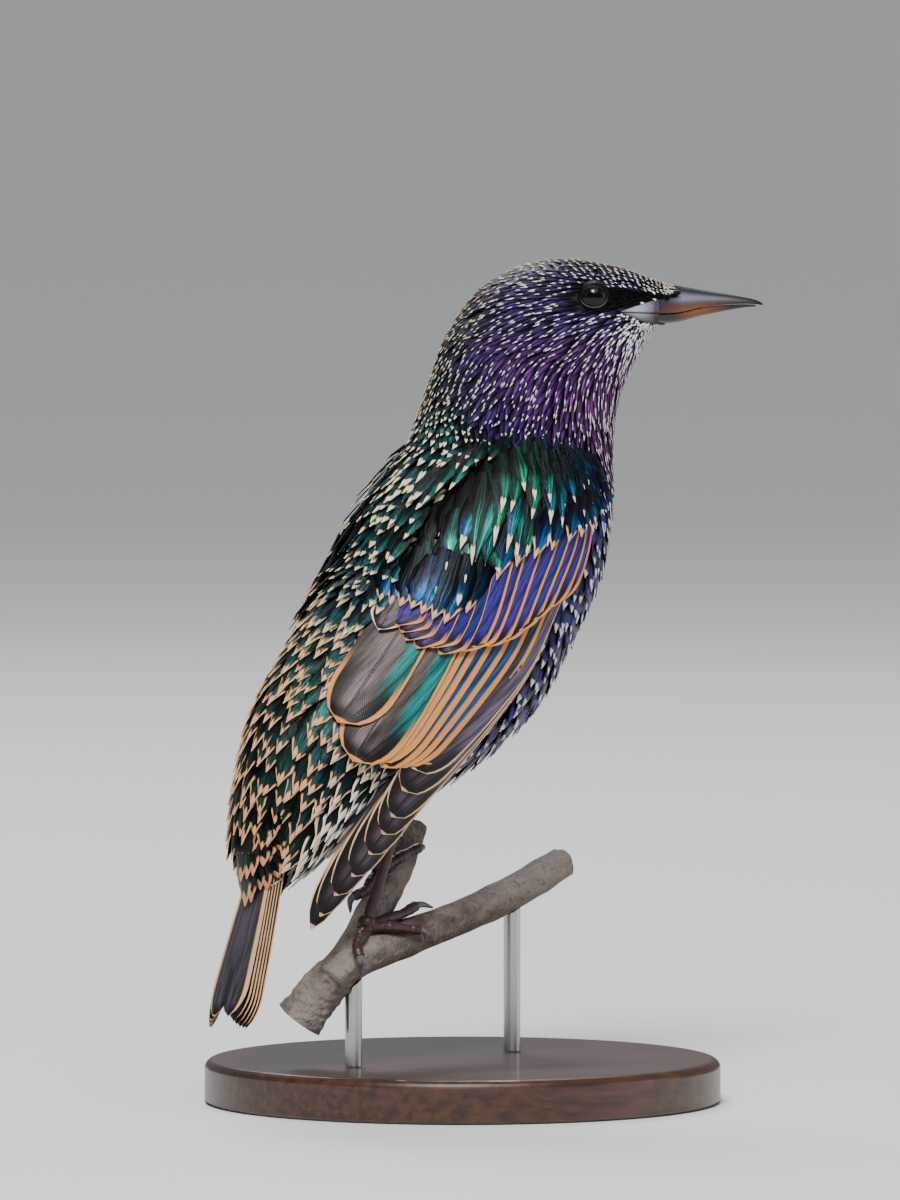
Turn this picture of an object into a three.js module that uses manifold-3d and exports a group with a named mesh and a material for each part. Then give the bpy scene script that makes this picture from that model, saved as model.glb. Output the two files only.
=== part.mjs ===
// A life-size starling in winter plumage, perched on a forked length of branch over a round display base.
// Millimetres, +Z up. The bird faces +X and its right side is -Y, with the head turned to its right.
// The origin is the centre of the base's underside.
import * as THREE from "three";
import { mergeVertices } from "three/addons/utils/BufferGeometryUtils.js";
import Module from "manifold-3d";

const wasm = await Module();
wasm.setup();

// Driving dimensions
const GAP = 0.3; // between any two pieces that touch
const HEAD_TURN = -35; // degrees about the neck, towards the bird's right
const NECK_X = 24; // the upright axis that the neck twists about
const TAIL_PITCH = 72; // degrees below level
const TAIL_ROLL = 9; // degrees, the left edge hanging lower
const EYE_RADIUS = 3.8;
const EYE_AT = [10.8, 177.8]; // ahead of the neck axis and up, in the head's own plane
const TARSUS_RADIUS = 1.25;
const TOE_RADIUS = 1.35;
const BIRD_LIFT = 9; // raises bird and perch until the tail hangs clear of the base
const BASE_RADIUS = 60;
const BASE_HEIGHT = 10;
const BASE_BEVEL = 1.6;
const ROD_RADIUS = 2;

// Outline of the body from the tail's root to the bill, one row a station:
// back line x and z, belly line x and z, half width, and how far the neck has turned in degrees.
const BODY = [
  [-62.8, 40.5, -56.6, 38.5, 7.0, 0],
  [-63.2, 52.0, -46.0, 46.0, 11.5, 0],
  [-61.2, 67.5, -33.0, 54.5, 15.5, 0],
  [-55.4, 84.4, -22.6, 60.0, 19.2, 0],
  [-46.0, 98.4, -11.2, 63.0, 21.9, 0],
  [-37.4, 109.0, 2.6, 70.0, 23.6, 0],
  [-31.0, 116.8, 16.8, 81.5, 24.4, 0],
  [-23.8, 128.4, 26.4, 96.0, 24.6, 0],
  [-15.4, 138.6, 34.2, 110.0, 24.0, 0],
  [-11.0, 145.2, 37.8, 124.7, 22.8, 0],
  [-7.4, 151.0, 39.0, 136.0, 21.4, -8],
  [-4.0, 158.6, 39.6, 146.3, 18.8, -17],
  [-1.0, 166.2, 41.2, 154.8, 16.4, -25],
  [2.6, 172.4, 43.4, 160.1, 14.2, -31],
  [9.0, 180.0, 45.7, 164.6, 12.0, -35],
  [18.9, 185.2, 47.0, 167.2, 10.4, -35],
  [28.8, 186.4, 48.1, 169.0, 9.1, -35],
  [39.9, 184.7, 49.4, 170.3, 7.4, -35],
  [46.8, 182.4, 50.5, 170.9, 6.1, -35],
  [52.0, 180.6, 52.0, 171.4, 4.6, -35],
];
const TAIL_CUT = 1.6; // stations where the body is parted into tail, torso, neck and head
const NECK_CUT = 9.6;
const HEAD_CUT = 13.5;
const CUT_HALF = 0.02;

// The shell that the folded wings lie on, in the same form, from above the shoulder to past the wing tip.
const CLOAK = [
  [-4.0, 151.0, 41.0, 136.0, 22.6, 0],
  [-9.2, 145.0, 40.2, 124.0, 25.4, 0],
  [-14.6, 139.4, 36.0, 109.0, 27.2, 0],
  [-23.6, 128.8, 28.0, 95.0, 28.0, 0],
  [-30.6, 117.2, 19.0, 80.0, 27.6, 0],
  [-36.4, 109.4, 6.0, 66.5, 26.4, 0],
  [-44.2, 98.4, -5.0, 57.5, 24.4, 0],
  [-53.6, 85.0, -14.0, 50.5, 21.8, 0],
  [-59.4, 71.0, -21.5, 43.5, 19.4, 0],
  [-61.8, 58.0, -29.5, 37.0, 17.4, 0],
  [-63.5, 45.0, -38.5, 30.0, 15.6, 0],
  [-65.5, 29.0, -47.5, 19.5, 14.0, 0],
];

const radians = THREE.MathUtils.degToRad;
const lerp = (a, b, f) => a + (b - a) * f;
const vector = (x, y, z) => new THREE.Vector3(x, y, z);

// Solids from points and faces, and meshes from solids

function closed(points, faces) {
  const build = (list) =>
    new wasm.Manifold(
      new wasm.Mesh({
        numProp: 3,
        vertProperties: new Float32Array(points.flatMap((p) => [p.x, p.y, p.z])),
        triVerts: new Uint32Array(list.flat()),
      }),
    );
  const made = build(faces);
  return made.volume() < 0 ? build(faces.map(([a, b, c]) => [a, c, b])) : made;
}

// Joins rings of equal count into a closed skin, with a flat cap at each end.
function skin(rings) {
  const count = rings[0].length;
  const points = rings.flat();
  const faces = [];
  for (let i = 0; i + 1 < rings.length; i++)
    for (let j = 0; j < count; j++) {
      const k = (j + 1) % count;
      const [a, b, c, d] = [i * count + j, i * count + k, (i + 1) * count + j, (i + 1) * count + k];
      faces.push([a, b, d], [a, d, c]);
    }
  for (const [ring, flip] of [[0, true], [rings.length - 1, false]]) {
    const middle = rings[ring].reduce((sum, p) => sum.add(p), vector(0, 0, 0)).divideScalar(count);
    points.push(middle);
    const hub = points.length - 1;
    for (let j = 0; j < count; j++) {
      const [a, b] = [ring * count + j, ring * count + ((j + 1) % count)];
      faces.push(flip ? [hub, b, a] : [hub, a, b]);
    }
  }
  return closed(points, faces);
}

function fromGeometry(geometry, tolerance = 1e-4) {
  geometry.deleteAttribute("normal");
  geometry.deleteAttribute("uv");
  const merged = mergeVertices(geometry, tolerance);
  const at = merged.attributes.position;
  const points = Array.from({ length: at.count }, (_, i) => vector(at.getX(i), at.getY(i), at.getZ(i)));
  const index = Array.from(merged.index.array);
  const faces = [];
  for (let i = 0; i < index.length; i += 3) faces.push(index.slice(i, i + 3));
  return closed(points, faces);
}

const join = (solids) => solids.reduce((sum, s) => sum.add(s));

function largest(solid) {
  return solid.decompose().reduce((best, s) => (s.volume() > best.volume() ? s : best));
}

const group = new THREE.Group();

function toGeometry(solid) {
  const { numProp, vertProperties, triVerts } = solid.getMesh();
  const position = new Float32Array((vertProperties.length / numProp) * 3);
  for (let i = 0; i < position.length / 3; i++)
    position.set(vertProperties.subarray(i * numProp, i * numProp + 3), i * 3);
  const geometry = new THREE.BufferGeometry();
  geometry.setAttribute("position", new THREE.BufferAttribute(position, 3));
  geometry.setIndex(new THREE.BufferAttribute(new Uint32Array(triVerts), 1));
  return geometry;
}

// A hollow that only touches the outside at a point parts from it once the points are merged again.
function addNode(name, solid, material, lift = BIRD_LIFT) {
  const whole = largest(fromGeometry(toGeometry(largest(solid)), 1e-3));
  const mesh = new THREE.Mesh(toGeometry(whole), material);
  mesh.geometry.computeVertexNormals();
  mesh.name = name;
  mesh.position.z = lift;
  group.add(mesh);
}

const finish = (color, roughness, metalness = 0) =>
  new THREE.MeshStandardMaterial({ color, roughness, metalness });
const materials = {
  plumage: finish(0x1b2a3a, 0.45, 0.2),
  wing: finish(0x4a3f3a, 0.5, 0.1),
  bill: finish(0x55505a, 0.35),
  eye: finish(0x0c0a0a, 0.05),
  leg: finish(0x5d2f2b, 0.5),
  bark: finish(0x6f655c, 0.9),
  base: finish(0x2a1c14, 0.4),
  rod: finish(0x8d8a84, 0.3, 1),
};

// Shapes that follow the station tables

function valueAt(rows, t, key) {
  const i = Math.max(0, Math.min(Math.floor(t), rows.length - 2));
  const f = t - i;
  const [a, b, c, d] = [-1, 0, 1, 2].map((k) => rows[Math.max(0, Math.min(rows.length - 1, i + k))][key]);
  return b + 0.5 * f * (c - a + f * (2 * a - 5 * b + 4 * c - d + f * (3 * (b - c) + d - a)));
}

// A point at station t, angle degrees round from the back line, lifted off the surface.
// side is -1 for the bird's right and 1 for its left.
function around(rows, t, angle, lift = 0, side = -1) {
  const [bx, bz, vx, vz, half, turn] = [0, 1, 2, 3, 4, 5].map((key) => valueAt(rows, t, key));
  const depth = Math.hypot(bx - vx, bz - vz) / 2;
  const grow = (1 + lift / depth) * Math.cos(radians(angle));
  const x = (bx + vx) / 2 + ((bx - vx) / 2) * grow - NECK_X;
  const y = side * (half + lift) * Math.sin(radians(angle));
  const [c, s] = [Math.cos(radians(turn)), Math.sin(radians(turn))];
  return vector(NECK_X + x * c - y * s, x * s + y * c, (bz + vz) / 2 + ((bz - vz) / 2) * grow);
}

// A point in the head's own plane: ahead of the neck axis, to its right, and up.
function inHead(ahead, right, up) {
  const [c, s] = [Math.cos(radians(HEAD_TURN)), Math.sin(radians(HEAD_TURN))];
  return vector(NECK_X + ahead * c + right * s, ahead * s - right * c, up);
}

function bodyLength(from, to, steps, sides, lift = 0) {
  const rings = [];
  for (let i = 0; i <= steps; i++)
    rings.push(
      Array.from({ length: sides }, (_, j) =>
        around(BODY, from + ((to - from) * i) / steps, (360 * j) / sides, lift),
      ),
    );
  return skin(rings);
}

// A feather's vane on a sheet. place(t, angle, lift) is the sheet; root and tip are [t, angle] on it.
// It is shingled: its outer edge lies on top of the next one out, and its inner edge is tucked in.
const VANE_STATIONS = [
  [0, 0.5],
  [0.35, 0.9],
  [0.72, 1],
  [0.93, 0.66],
  [1, 0.16],
];

function vane(place, { root, tip, width, thick, lift, tuck, fall = 0 }) {
  const [top, bottom] = [[], []];
  const across = [-1, 1];
  const path = (v) => [lerp(root[0], tip[0], v), lerp(root[1], tip[1], v)];
  const step = 0.02;
  for (const [v, share] of VANE_STATIONS) {
    const [t, angle] = path(v);
    const here = place(t, angle, 0);
    const ds = place(t + step, angle, 0).distanceTo(here) / step;
    const da = place(t, angle + 1, 0).distanceTo(here);
    const [t2, angle2] = path(v + step);
    const run = vector((t2 - t) * ds, (angle2 - angle) * da, 0).normalize();
    for (const e of across) {
      const off = (e * share * width) / 2;
      const [pt, pa] = [t - (run.y * off) / ds, angle + (run.x * off) / da];
      const height = lift - fall * v + (e * tuck) / 2;
      top.push(place(pt, pa, height));
      bottom.push(place(pt, pa, height - thick * (v === 1 ? 0.6 : 1)));
    }
  }
  const under = top.length;
  const last = under - 2;
  const faces = [];
  const quad = (a, b, c, d) => faces.push([a, b, c], [a, c, d]);
  for (let a = 0; a < last; a += 2) {
    quad(a, a + 1, a + 3, a + 2);
    quad(under + a + 2, under + a + 3, under + a + 1, under + a);
    quad(a, a + 2, under + a + 2, under + a);
    quad(a + 1, under + a + 1, under + a + 3, a + 3);
  }
  quad(0, under, under + 1, 1);
  quad(last, last + 1, under + last + 1, under + last);
  return closed([...top, ...bottom], faces);
}

// A round tube through points, with a radius for each share of its length.
function tube(points, radiusAt, sides, steps) {
  const curve = new THREE.CatmullRomCurve3(points);
  const frames = curve.computeFrenetFrames(steps, false);
  const rings = [];
  for (let i = 0; i <= steps; i++) {
    const at = curve.getPointAt(i / steps);
    const r = radiusAt(i / steps);
    rings.push(
      Array.from({ length: sides }, (_, j) => {
        const a = (2 * Math.PI * j) / sides;
        return at
          .clone()
          .addScaledVector(frames.normals[i], r * Math.cos(a))
          .addScaledVector(frames.binormals[i], r * Math.sin(a));
      }),
    );
  }
  return skin(rings);
}

const ball = (at, r, across, up) =>
  fromGeometry(new THREE.SphereGeometry(r, across, up).translate(at.x, at.y, at.z));

// Head, with sockets, lids and the line of the mouth

const SIDES = [
  ["right", -1],
  ["left", 1],
];
const EYE_OUT = 7.9; // from the head's middle plane to the centre of the eye
const eyeCentre = (side) => inHead(EYE_AT[0], -side * EYE_OUT, EYE_AT[1]);

function eyelid(side) {
  const [major, minor] = [3.2, 0.55];
  const ring = new THREE.TorusGeometry(major, minor, 5, 16).scale(1.1, 0.88, 1);
  const at = inHead(EYE_AT[0], -side * (EYE_OUT + 2.2), EYE_AT[1]);
  const turn = new THREE.Matrix4().makeRotationZ(radians(HEAD_TURN));
  ring.rotateX(Math.PI / 2).applyMatrix4(turn).translate(at.x, at.y, at.z);
  return fromGeometry(ring);
}

function mouthLine(side) {
  const half = 0.22;
  const slot = (ahead, inner, up) =>
    [[12, half], [12, -half], [inner, -half], [inner, half]].map(([out, rise]) =>
      inHead(ahead, -side * out, up + rise),
    );
  return skin([slot(19.2, 6.9, 172.4), slot(29, 2.6, 173.6)]);
}

function head() {
  let solid = bodyLength(HEAD_CUT + CUT_HALF, BODY.length - 1, 11, 24);
  for (const [, side] of SIDES) {
    solid = solid.add(eyelid(side));
    solid = solid.subtract(ball(eyeCentre(side), EYE_RADIUS + GAP, 12, 8));
    solid = solid.subtract(mouthLine(side));
  }
  return solid;
}

// The bill: rows of distance ahead of the neck axis, upper edge, lower edge and half width
const UPPER_BILL = [
  [28.3, 180.5, 173.9, 4.3],
  [31.5, 180.0, 174.3, 3.7],
  [36.0, 179.2, 175.3, 2.9],
  [41.0, 178.4, 175.9, 2.2],
  [45.5, 177.6, 176.1, 1.5],
  [48.5, 176.9, 176.0, 0.9],
  [50.2, 176.1, 175.7, 0.35],
];
const LOWER_BILL = [
  [28.3, 173.5, 171.5, 3.9],
  [31.5, 173.9, 171.9, 3.4],
  [36.0, 174.9, 173.1, 2.6],
  [41.0, 175.5, 174.2, 1.9],
  [45.5, 175.7, 175.0, 1.2],
  [48.6, 175.6, 175.3, 0.5],
];

function mandible(rows, arch) {
  const sides = 12;
  return skin(
    rows.map(([ahead, top, bottom, half]) =>
      Array.from({ length: sides }, (_, j) => {
        const a = (2 * Math.PI * j) / sides;
        const middle = arch > 0 ? bottom : top;
        const rise = Math.max(0, arch * Math.cos(a)) * (top - bottom) * arch;
        return inHead(ahead, half * Math.sin(a), middle + rise);
      }),
    ),
  );
}

function nostril(side) {
  const pit = new THREE.SphereGeometry(0.55, 8, 6).scale(2.1, 1, 0.9);
  pit.rotateZ(radians(HEAD_TURN));
  const at = inHead(31.3, -side * 3.2, 177.4);
  return fromGeometry(pit.translate(at.x, at.y, at.z));
}

// Wings

const onCloak = (side) => (t, angle, lift) => around(CLOAK, t, angle, lift, side);

// The inner and outer edges of the folded wing, as degrees round from the back at each station
const WING_INNER = [54, 35, 31, 30, 34, 40, 52, 68, 78, 84, 86];
const WING_OUTER = [86, 90, 96, 106, 110, 112, 112, 111, 108, 103, 96];
const PAD_FROM = 0.55;
const PAD_TO = 6.9;
const PAD_DEPTH = 4.6;

function edgeAt(list, t) {
  return valueAt(list.map((v) => [v]), t, 0);
}

// The wing's body under its feathers: a plate that follows the cloak.
function wingPad(side) {
  const [steps, across] = [8, 7];
  const rings = [];
  for (let i = 0; i <= steps; i++) {
    const t = PAD_FROM + ((PAD_TO - PAD_FROM) * i) / steps;
    const [inner, outer] = [edgeAt(WING_INNER, t) + 3, edgeAt(WING_OUTER, t) - 3];
    const row = (lift, k) => around(CLOAK, t, inner + ((outer - inner) * k) / across, lift, side);
    const arch = (k) => Math.sin((Math.PI * k) / across) * 0.9 - 0.9;
    const over = Array.from({ length: across + 1 }, (_, k) => row(arch(k), k));
    const under = Array.from({ length: across + 1 }, (_, k) => row(-PAD_DEPTH, across - k));
    rings.push([...over, ...under]);
  }
  return skin(rings);
}

// Each tract of a wing: how many feathers, and where the first and the last of them start and end.
const TRACTS = [
  {
    count: 8,
    roots: [[2.8, 98], [3.6, 104]],
    tips: [[6.7, 93], [7.5, 101], [8.4, 104], [9.5, 98], [10.3, 91]],
    width: [11, 9],
    lift: [0.75, -1.3],
    thick: 0.75,
    tuck: 0.7,
  },
  {
    count: 6,
    roots: [[3.2, 62], [2.6, 98]],
    tips: [[7.1, 74], [6.85, 84], [6.4, 94]],
    width: [12, 10],
    lift: [1.1, 0.4],
    thick: 0.8,
    tuck: 0.9,
  },
  {
    count: 3,
    roots: [[3.0, 34], [3.2, 46], [3.4, 56]],
    tips: [[5.3, 38], [6.9, 48], [7.25, 67]],
    width: [12, 15],
    lift: [1.9, 1.3],
    thick: 0.8,
    tuck: 0.7,
  },
  {
    count: 7,
    roots: [[3.0, 42], [2.9, 60], [2.3, 78], [1.6, 92], [1.1, 88]],
    tips: [[5.0, 50], [5.15, 63], [4.5, 79], [3.15, 97], [2.4, 95]],
    width: [12, 10],
    lift: [2.0, 1.4],
    thick: 0.8,
    tuck: 0.95,
  },
  {
    count: 6,
    roots: [[1.8, 40], [1.7, 56], [1.2, 72], [0.7, 82], [0.45, 78]],
    tips: [[3.8, 40], [3.7, 56], [3.1, 74], [2.2, 90], [1.5, 87]],
    width: [12.5, 10],
    lift: [2.6, 2.0],
    thick: 0.8,
    tuck: 0.9,
  },
];

// Repeatable numbers from -1 to 1, for the small differences between one feather and the next
function seeded(seed) {
  let state = seed;
  return () => {
    state = (state * 1664525 + 1013904223) % 4294967296;
    return state / 2147483648 - 1;
  };
}

function wingFeathers(side) {
  const place = onCloak(side);
  const vary = seeded(side + 41);
  const along = (rows, f) => [0, 1].map((key) => valueAt(rows, f * (rows.length - 1), key));
  return TRACTS.flatMap(({ count, roots, tips, width, lift, ...shape }) =>
    Array.from({ length: count }, (_, i) => {
      const f = i / (count - 1);
      const [reach, swing] = along(tips, f);
      return vane(place, {
        root: along(roots, f),
        tip: [reach + 0.05 * vary(), swing + 0.6 * vary()],
        width: lerp(...width, f) * (1 + 0.04 * vary()),
        lift: lerp(...lift, f),
        ...shape,
      });
    }),
  );
}

// Tail

const TAIL_TIP = vector(-68, 0, 10.6);
const TAIL_AXIS = vector(-Math.cos(radians(TAIL_PITCH)), 0, -Math.sin(radians(TAIL_PITCH)));
const TAIL_FEATHERS = 12;

// Coverts over and under the tail's root: how many, half spread, tip of the middle one, lift,
// fall and thickness
const TAIL_COVERTS = [
  [5, 7.2, 24, 4.5, 2.8, 2.3],
  [4, 6.0, 21, -1.2, 0.4, 1.3],
];

function tailCovert(i, [count, spread, reach, lift, fall, thick], grow) {
  const f = (2 * i) / (count - 1) - 1;
  return vane(onTail, {
    root: [38, spread * f * 0.8],
    tip: [reach + 4 * f * f, spread * f],
    width: 6.4 + 2 * grow,
    lift: lift + 0.35 * (1 - f * f) + grow,
    fall,
    thick: thick + 2 * grow,
    tuck: 0.3,
  });
}

// The tail's sheet: t is mm from the tip back to the root, angle is mm out from the middle.
function onTail(t, out, lift) {
  const roll = radians(TAIL_ROLL);
  const across = vector(0, Math.cos(roll), 0).addScaledVector(tailUp(), -Math.sin(roll));
  const up = tailUp().multiplyScalar(Math.cos(roll)).addScaledVector(vector(0, 1, 0), Math.sin(roll));
  const arch = (-out * out) / 90;
  const at = TAIL_TIP.clone().addScaledVector(TAIL_AXIS, -t);
  return at.addScaledVector(across, out).addScaledVector(up, lift + arch);
}

function tailUp() {
  return vector(TAIL_AXIS.z, 0, -TAIL_AXIS.x);
}

function tail(torsoFit, grow = 0) {
  const solids = [bodyLength(0, TAIL_CUT - CUT_HALF, 4, 24, grow)];
  const half = TAIL_FEATHERS / 2;
  for (const side of [-1, 1])
    for (let i = 0; i < half; i++) {
      const f = i / (half - 1);
      const place = (t, out, lift) => onTail(t, -side * out, lift);
      solids.push(
        vane(place, {
          root: [50, 1.4 + 3.4 * f],
          tip: [3.2 * (1 - f) ** 2 + 1.2 * f, 2.6 + 8.2 * f],
          width: lerp(9.5, 8, f) + 2 * grow,
          lift: lerp(0.9, -0.9, f) + grow,
          thick: 0.75 + 2 * grow,
          tuck: 0.4,
        }),
      );
    }
  for (const covert of TAIL_COVERTS)
    for (let i = 0; i < covert[0]; i++) solids.push(tailCovert(i, covert, grow));
  return join(solids).subtract(torsoFit);
}

// Perch, stand and feet

const FORK = vector(-36.5, -6, 25.5);
const ARMS = {
  trunk: { points: [vector(-45, 1.5, 12), vector(-41, -2, 19), FORK], radii: [5.8, 4.5] },
  rear: {
    points: [FORK, vector(-26, 0, 35), vector(-15, 6, 44.5), vector(-5, 12.5, 54)],
    radii: [4.4, 3.3],
  },
  front: {
    points: [
      vector(-41.5, -6, 21.5),
      FORK,
      vector(-20, -3.2, 29.6),
      vector(2, 3.4, 33.6),
      vector(20, 7.2, 38.6),
      vector(36, 10.5, 44.5),
    ],
    radii: [4.8, 3.6],
  },
};

function branch(arm, grow = 0) {
  const { points, radii } = ARMS[arm];
  const knots = (f) => 0.22 * Math.sin(9 * Math.PI * f) ** 2;
  return tube(points, (f) => lerp(...radii, f) + knots(f) + grow, 10, 10);
}

const perch = (grow = 0) => join(Object.keys(ARMS).map((arm) => branch(arm, grow)));

function onBranch(arm, distance, angle, lift) {
  const { points, radii } = ARMS[arm];
  const curve = new THREE.CatmullRomCurve3(points);
  const f = THREE.MathUtils.clamp(distance / curve.getLength(), 0, 1);
  const along = curve.getTangentAt(f);
  const out = vector(0, 0, 1).addScaledVector(along, -along.z).normalize();
  const right = along.clone().cross(out);
  const a = radians(angle);
  return curve
    .getPointAt(f)
    .addScaledVector(out, Math.cos(a) * (lerp(...radii, f) + lift))
    .addScaledVector(right, Math.sin(a) * (lerp(...radii, f) + lift));
}

// Each foot: its branch, where it stands on it, its heel, and its toes as [distance, angle] on the branch
const FEET = {
  right: {
    arm: "front",
    stand: 13.5,
    lean: 6,
    heel: vector(-21.5, -10.5, 69),
    toes: [
      [[0, 5], [6, 4], [12, 4], [18, 5], [22.5, 8]],
      [[0, -4], [4.5, -26], [9, -44], [13, -58], [16.5, -78]],
      [[0, 16], [4, 36], [8, 54], [11.5, 72], [13.5, 96]],
      [[0, 12], [-3.5, 28], [-6.5, 48], [-8, 76], [-8.5, 108]],
    ],
  },
  left: {
    arm: "rear",
    stand: 27,
    lean: -6,
    heel: vector(-9.5, 11.5, 79),
    toes: [
      [[0, 0], [3, -4], [6.5, -6], [10, -5], [13, -4]],
      [[0, 4], [4, 26], [7.5, 46], [10.5, 66], [12, 92]],
      [[0, -14], [4, -34], [7.5, -54], [10.5, -74], [12, -100]],
      [[0, -6], [-4, -8], [-8.5, -12], [-11.5, -34], [-12.5, -66]],
    ],
  },
};
const CLAW_SHARE = 0.7; // how far along a toe its claw begins
const PAD_RADIUS = 2.3;
const TOE_LIFTS = [0.15, 0.15, 0.15, 0.9, -0.7]; // off the bark, with the claw's tip sunk in it

function toe({ arm, stand }, steps, grow) {
  const points = steps.map(([d, a], i) => onBranch(arm, stand + d, a, TOE_RADIUS + TOE_LIFTS[i]));
  const thick = (f) =>
    grow +
    (f < CLAW_SHARE
      ? TOE_RADIUS * (1 - 0.22 * f) * (1 + 0.1 * Math.cos(6 * Math.PI * f))
      : lerp(0.95, 0.16, (f - CLAW_SHARE) / (1 - CLAW_SHARE)));
  return tube(points, thick, 6, 9);
}

const padCentre = ({ arm, stand, lean }) => onBranch(arm, stand, lean, PAD_RADIUS - 0.2);

function foot(plan, grow = 0) {
  const pad = ball(padCentre(plan), PAD_RADIUS + grow, 12, 8);
  return join([pad, ...plan.toes.map((steps) => toe(plan, steps, grow))]);
}

function leg(plan, fits) {
  const pad = padCentre(plan);
  const shank = tube(
    [pad, pad.clone().lerp(plan.heel, 0.5), plan.heel],
    (f) => TARSUS_RADIUS * (1.25 - 0.6 * Math.sin(Math.PI * Math.min(1, f * 1.2)) * 0.5),
    10,
    8,
  );
  const down = pad.clone().sub(plan.heel).normalize();
  const below = (d) => plan.heel.clone().addScaledVector(down, d);
  const drum = tube([below(-4), below(8), below(15)], (f) => lerp(6.4, 1.7, f ** 0.8), 12, 6);
  return fits.reduce((solid, fit) => solid.subtract(fit), shank.add(drum));
}

function standBase() {
  const [r, h, b] = [BASE_RADIUS, BASE_HEIGHT, BASE_BEVEL];
  const outline = [[0, 0], [r - 0.6, 0], [r, 0.6], [r, h - b], [r - b, h], [0, h]];
  const turned = new THREE.LatheGeometry(outline.map(([x, y]) => new THREE.Vector2(x, y)), 40);
  return fromGeometry(turned.rotateX(Math.PI / 2));
}

function rod(top, perchFit) {
  const foot = BASE_HEIGHT + GAP - BIRD_LIFT;
  const height = top.z - foot;
  const post = new THREE.CylinderGeometry(ROD_RADIUS, ROD_RADIUS, height, 16).rotateX(Math.PI / 2);
  return fromGeometry(post.translate(top.x, top.y, foot + height / 2)).subtract(perchFit);
}

// Assembly

const torsoFit = bodyLength(TAIL_CUT - CUT_HALF, NECK_CUT + CUT_HALF, 16, 24, GAP + 0.05);
const tailSolid = tail(bodyLength(TAIL_CUT - CUT_HALF * 0.2, 4, 6, 24, 3));
const perchFit = perch(GAP);

addNode("torso", bodyLength(TAIL_CUT + CUT_HALF, NECK_CUT - CUT_HALF, 14, 24), materials.plumage);
addNode("neck", bodyLength(NECK_CUT + CUT_HALF, HEAD_CUT - CUT_HALF, 7, 24), materials.plumage);
addNode("head", head(), materials.plumage);
addNode("tail", tailSolid, materials.wing);
addNode("bill_upper", mandible(UPPER_BILL, 1).subtract(nostril(-1)).subtract(nostril(1)), materials.bill);
addNode("bill_lower", mandible(LOWER_BILL, -1), materials.bill);

const neckFit = bodyLength(NECK_CUT - CUT_HALF, HEAD_CUT, 8, 24, GAP + 0.05);
const tailFit = tail(torsoFit, GAP + 0.1).add(bodyLength(0, TAIL_CUT, 4, 24, GAP + 0.05));
for (const [name, side] of SIDES) {
  addNode("eye_" + name, ball(eyeCentre(side), EYE_RADIUS, 16, 10), materials.eye);
  const raw = join([wingPad(side), ...wingFeathers(side)]);
  addNode("wing_" + name, raw.subtract(torsoFit).subtract(neckFit).subtract(tailFit), materials.wing);
  const plan = FEET[name];
  addNode("foot_" + name, foot(plan).subtract(perchFit), materials.leg);
  addNode("leg_" + name, leg(plan, [torsoFit, foot(plan, GAP)]), materials.leg);
}

addNode("perch", perch(), materials.bark);
addNode("stand_base", standBase(), materials.base, 0);
addNode("stand_rod_rear", rod(vector(-34.5, -5.4, 26), perchFit), materials.rod);
addNode("stand_rod_front", rod(vector(19, 7, 38), perchFit), materials.rod);

export default group;
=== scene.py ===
import math

import bpy
import numpy as np
from mathutils import Matrix, Vector


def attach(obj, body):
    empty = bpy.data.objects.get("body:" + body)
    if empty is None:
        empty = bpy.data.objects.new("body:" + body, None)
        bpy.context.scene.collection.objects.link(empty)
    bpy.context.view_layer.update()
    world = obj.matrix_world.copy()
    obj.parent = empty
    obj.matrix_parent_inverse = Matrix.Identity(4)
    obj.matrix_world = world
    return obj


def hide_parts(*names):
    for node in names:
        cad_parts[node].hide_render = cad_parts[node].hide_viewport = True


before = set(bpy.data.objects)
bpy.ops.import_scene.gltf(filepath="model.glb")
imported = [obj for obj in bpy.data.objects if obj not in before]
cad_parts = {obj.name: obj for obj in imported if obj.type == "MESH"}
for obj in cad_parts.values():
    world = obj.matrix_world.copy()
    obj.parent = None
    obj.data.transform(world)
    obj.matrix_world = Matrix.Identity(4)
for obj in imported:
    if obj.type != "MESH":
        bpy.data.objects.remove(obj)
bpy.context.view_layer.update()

MM = 0.001
LIFT = 9.0  # the bird and perch stand this far above the tables' zero
NECK_X = 24.0  # the upright axis that the head turns about
HEAD_TURN = math.radians(-35)
EYE_RADIUS = 3.8
EYE_AHEAD, EYE_OUT, EYE_UP = 10.8, 7.9, 177.8  # from the neck's axis, from the head's middle, and up
UP = np.array([0.0, 0.0, 1.0])
SIDES = (("right", -1), ("left", 1))
rng = np.random.default_rng(7)

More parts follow.
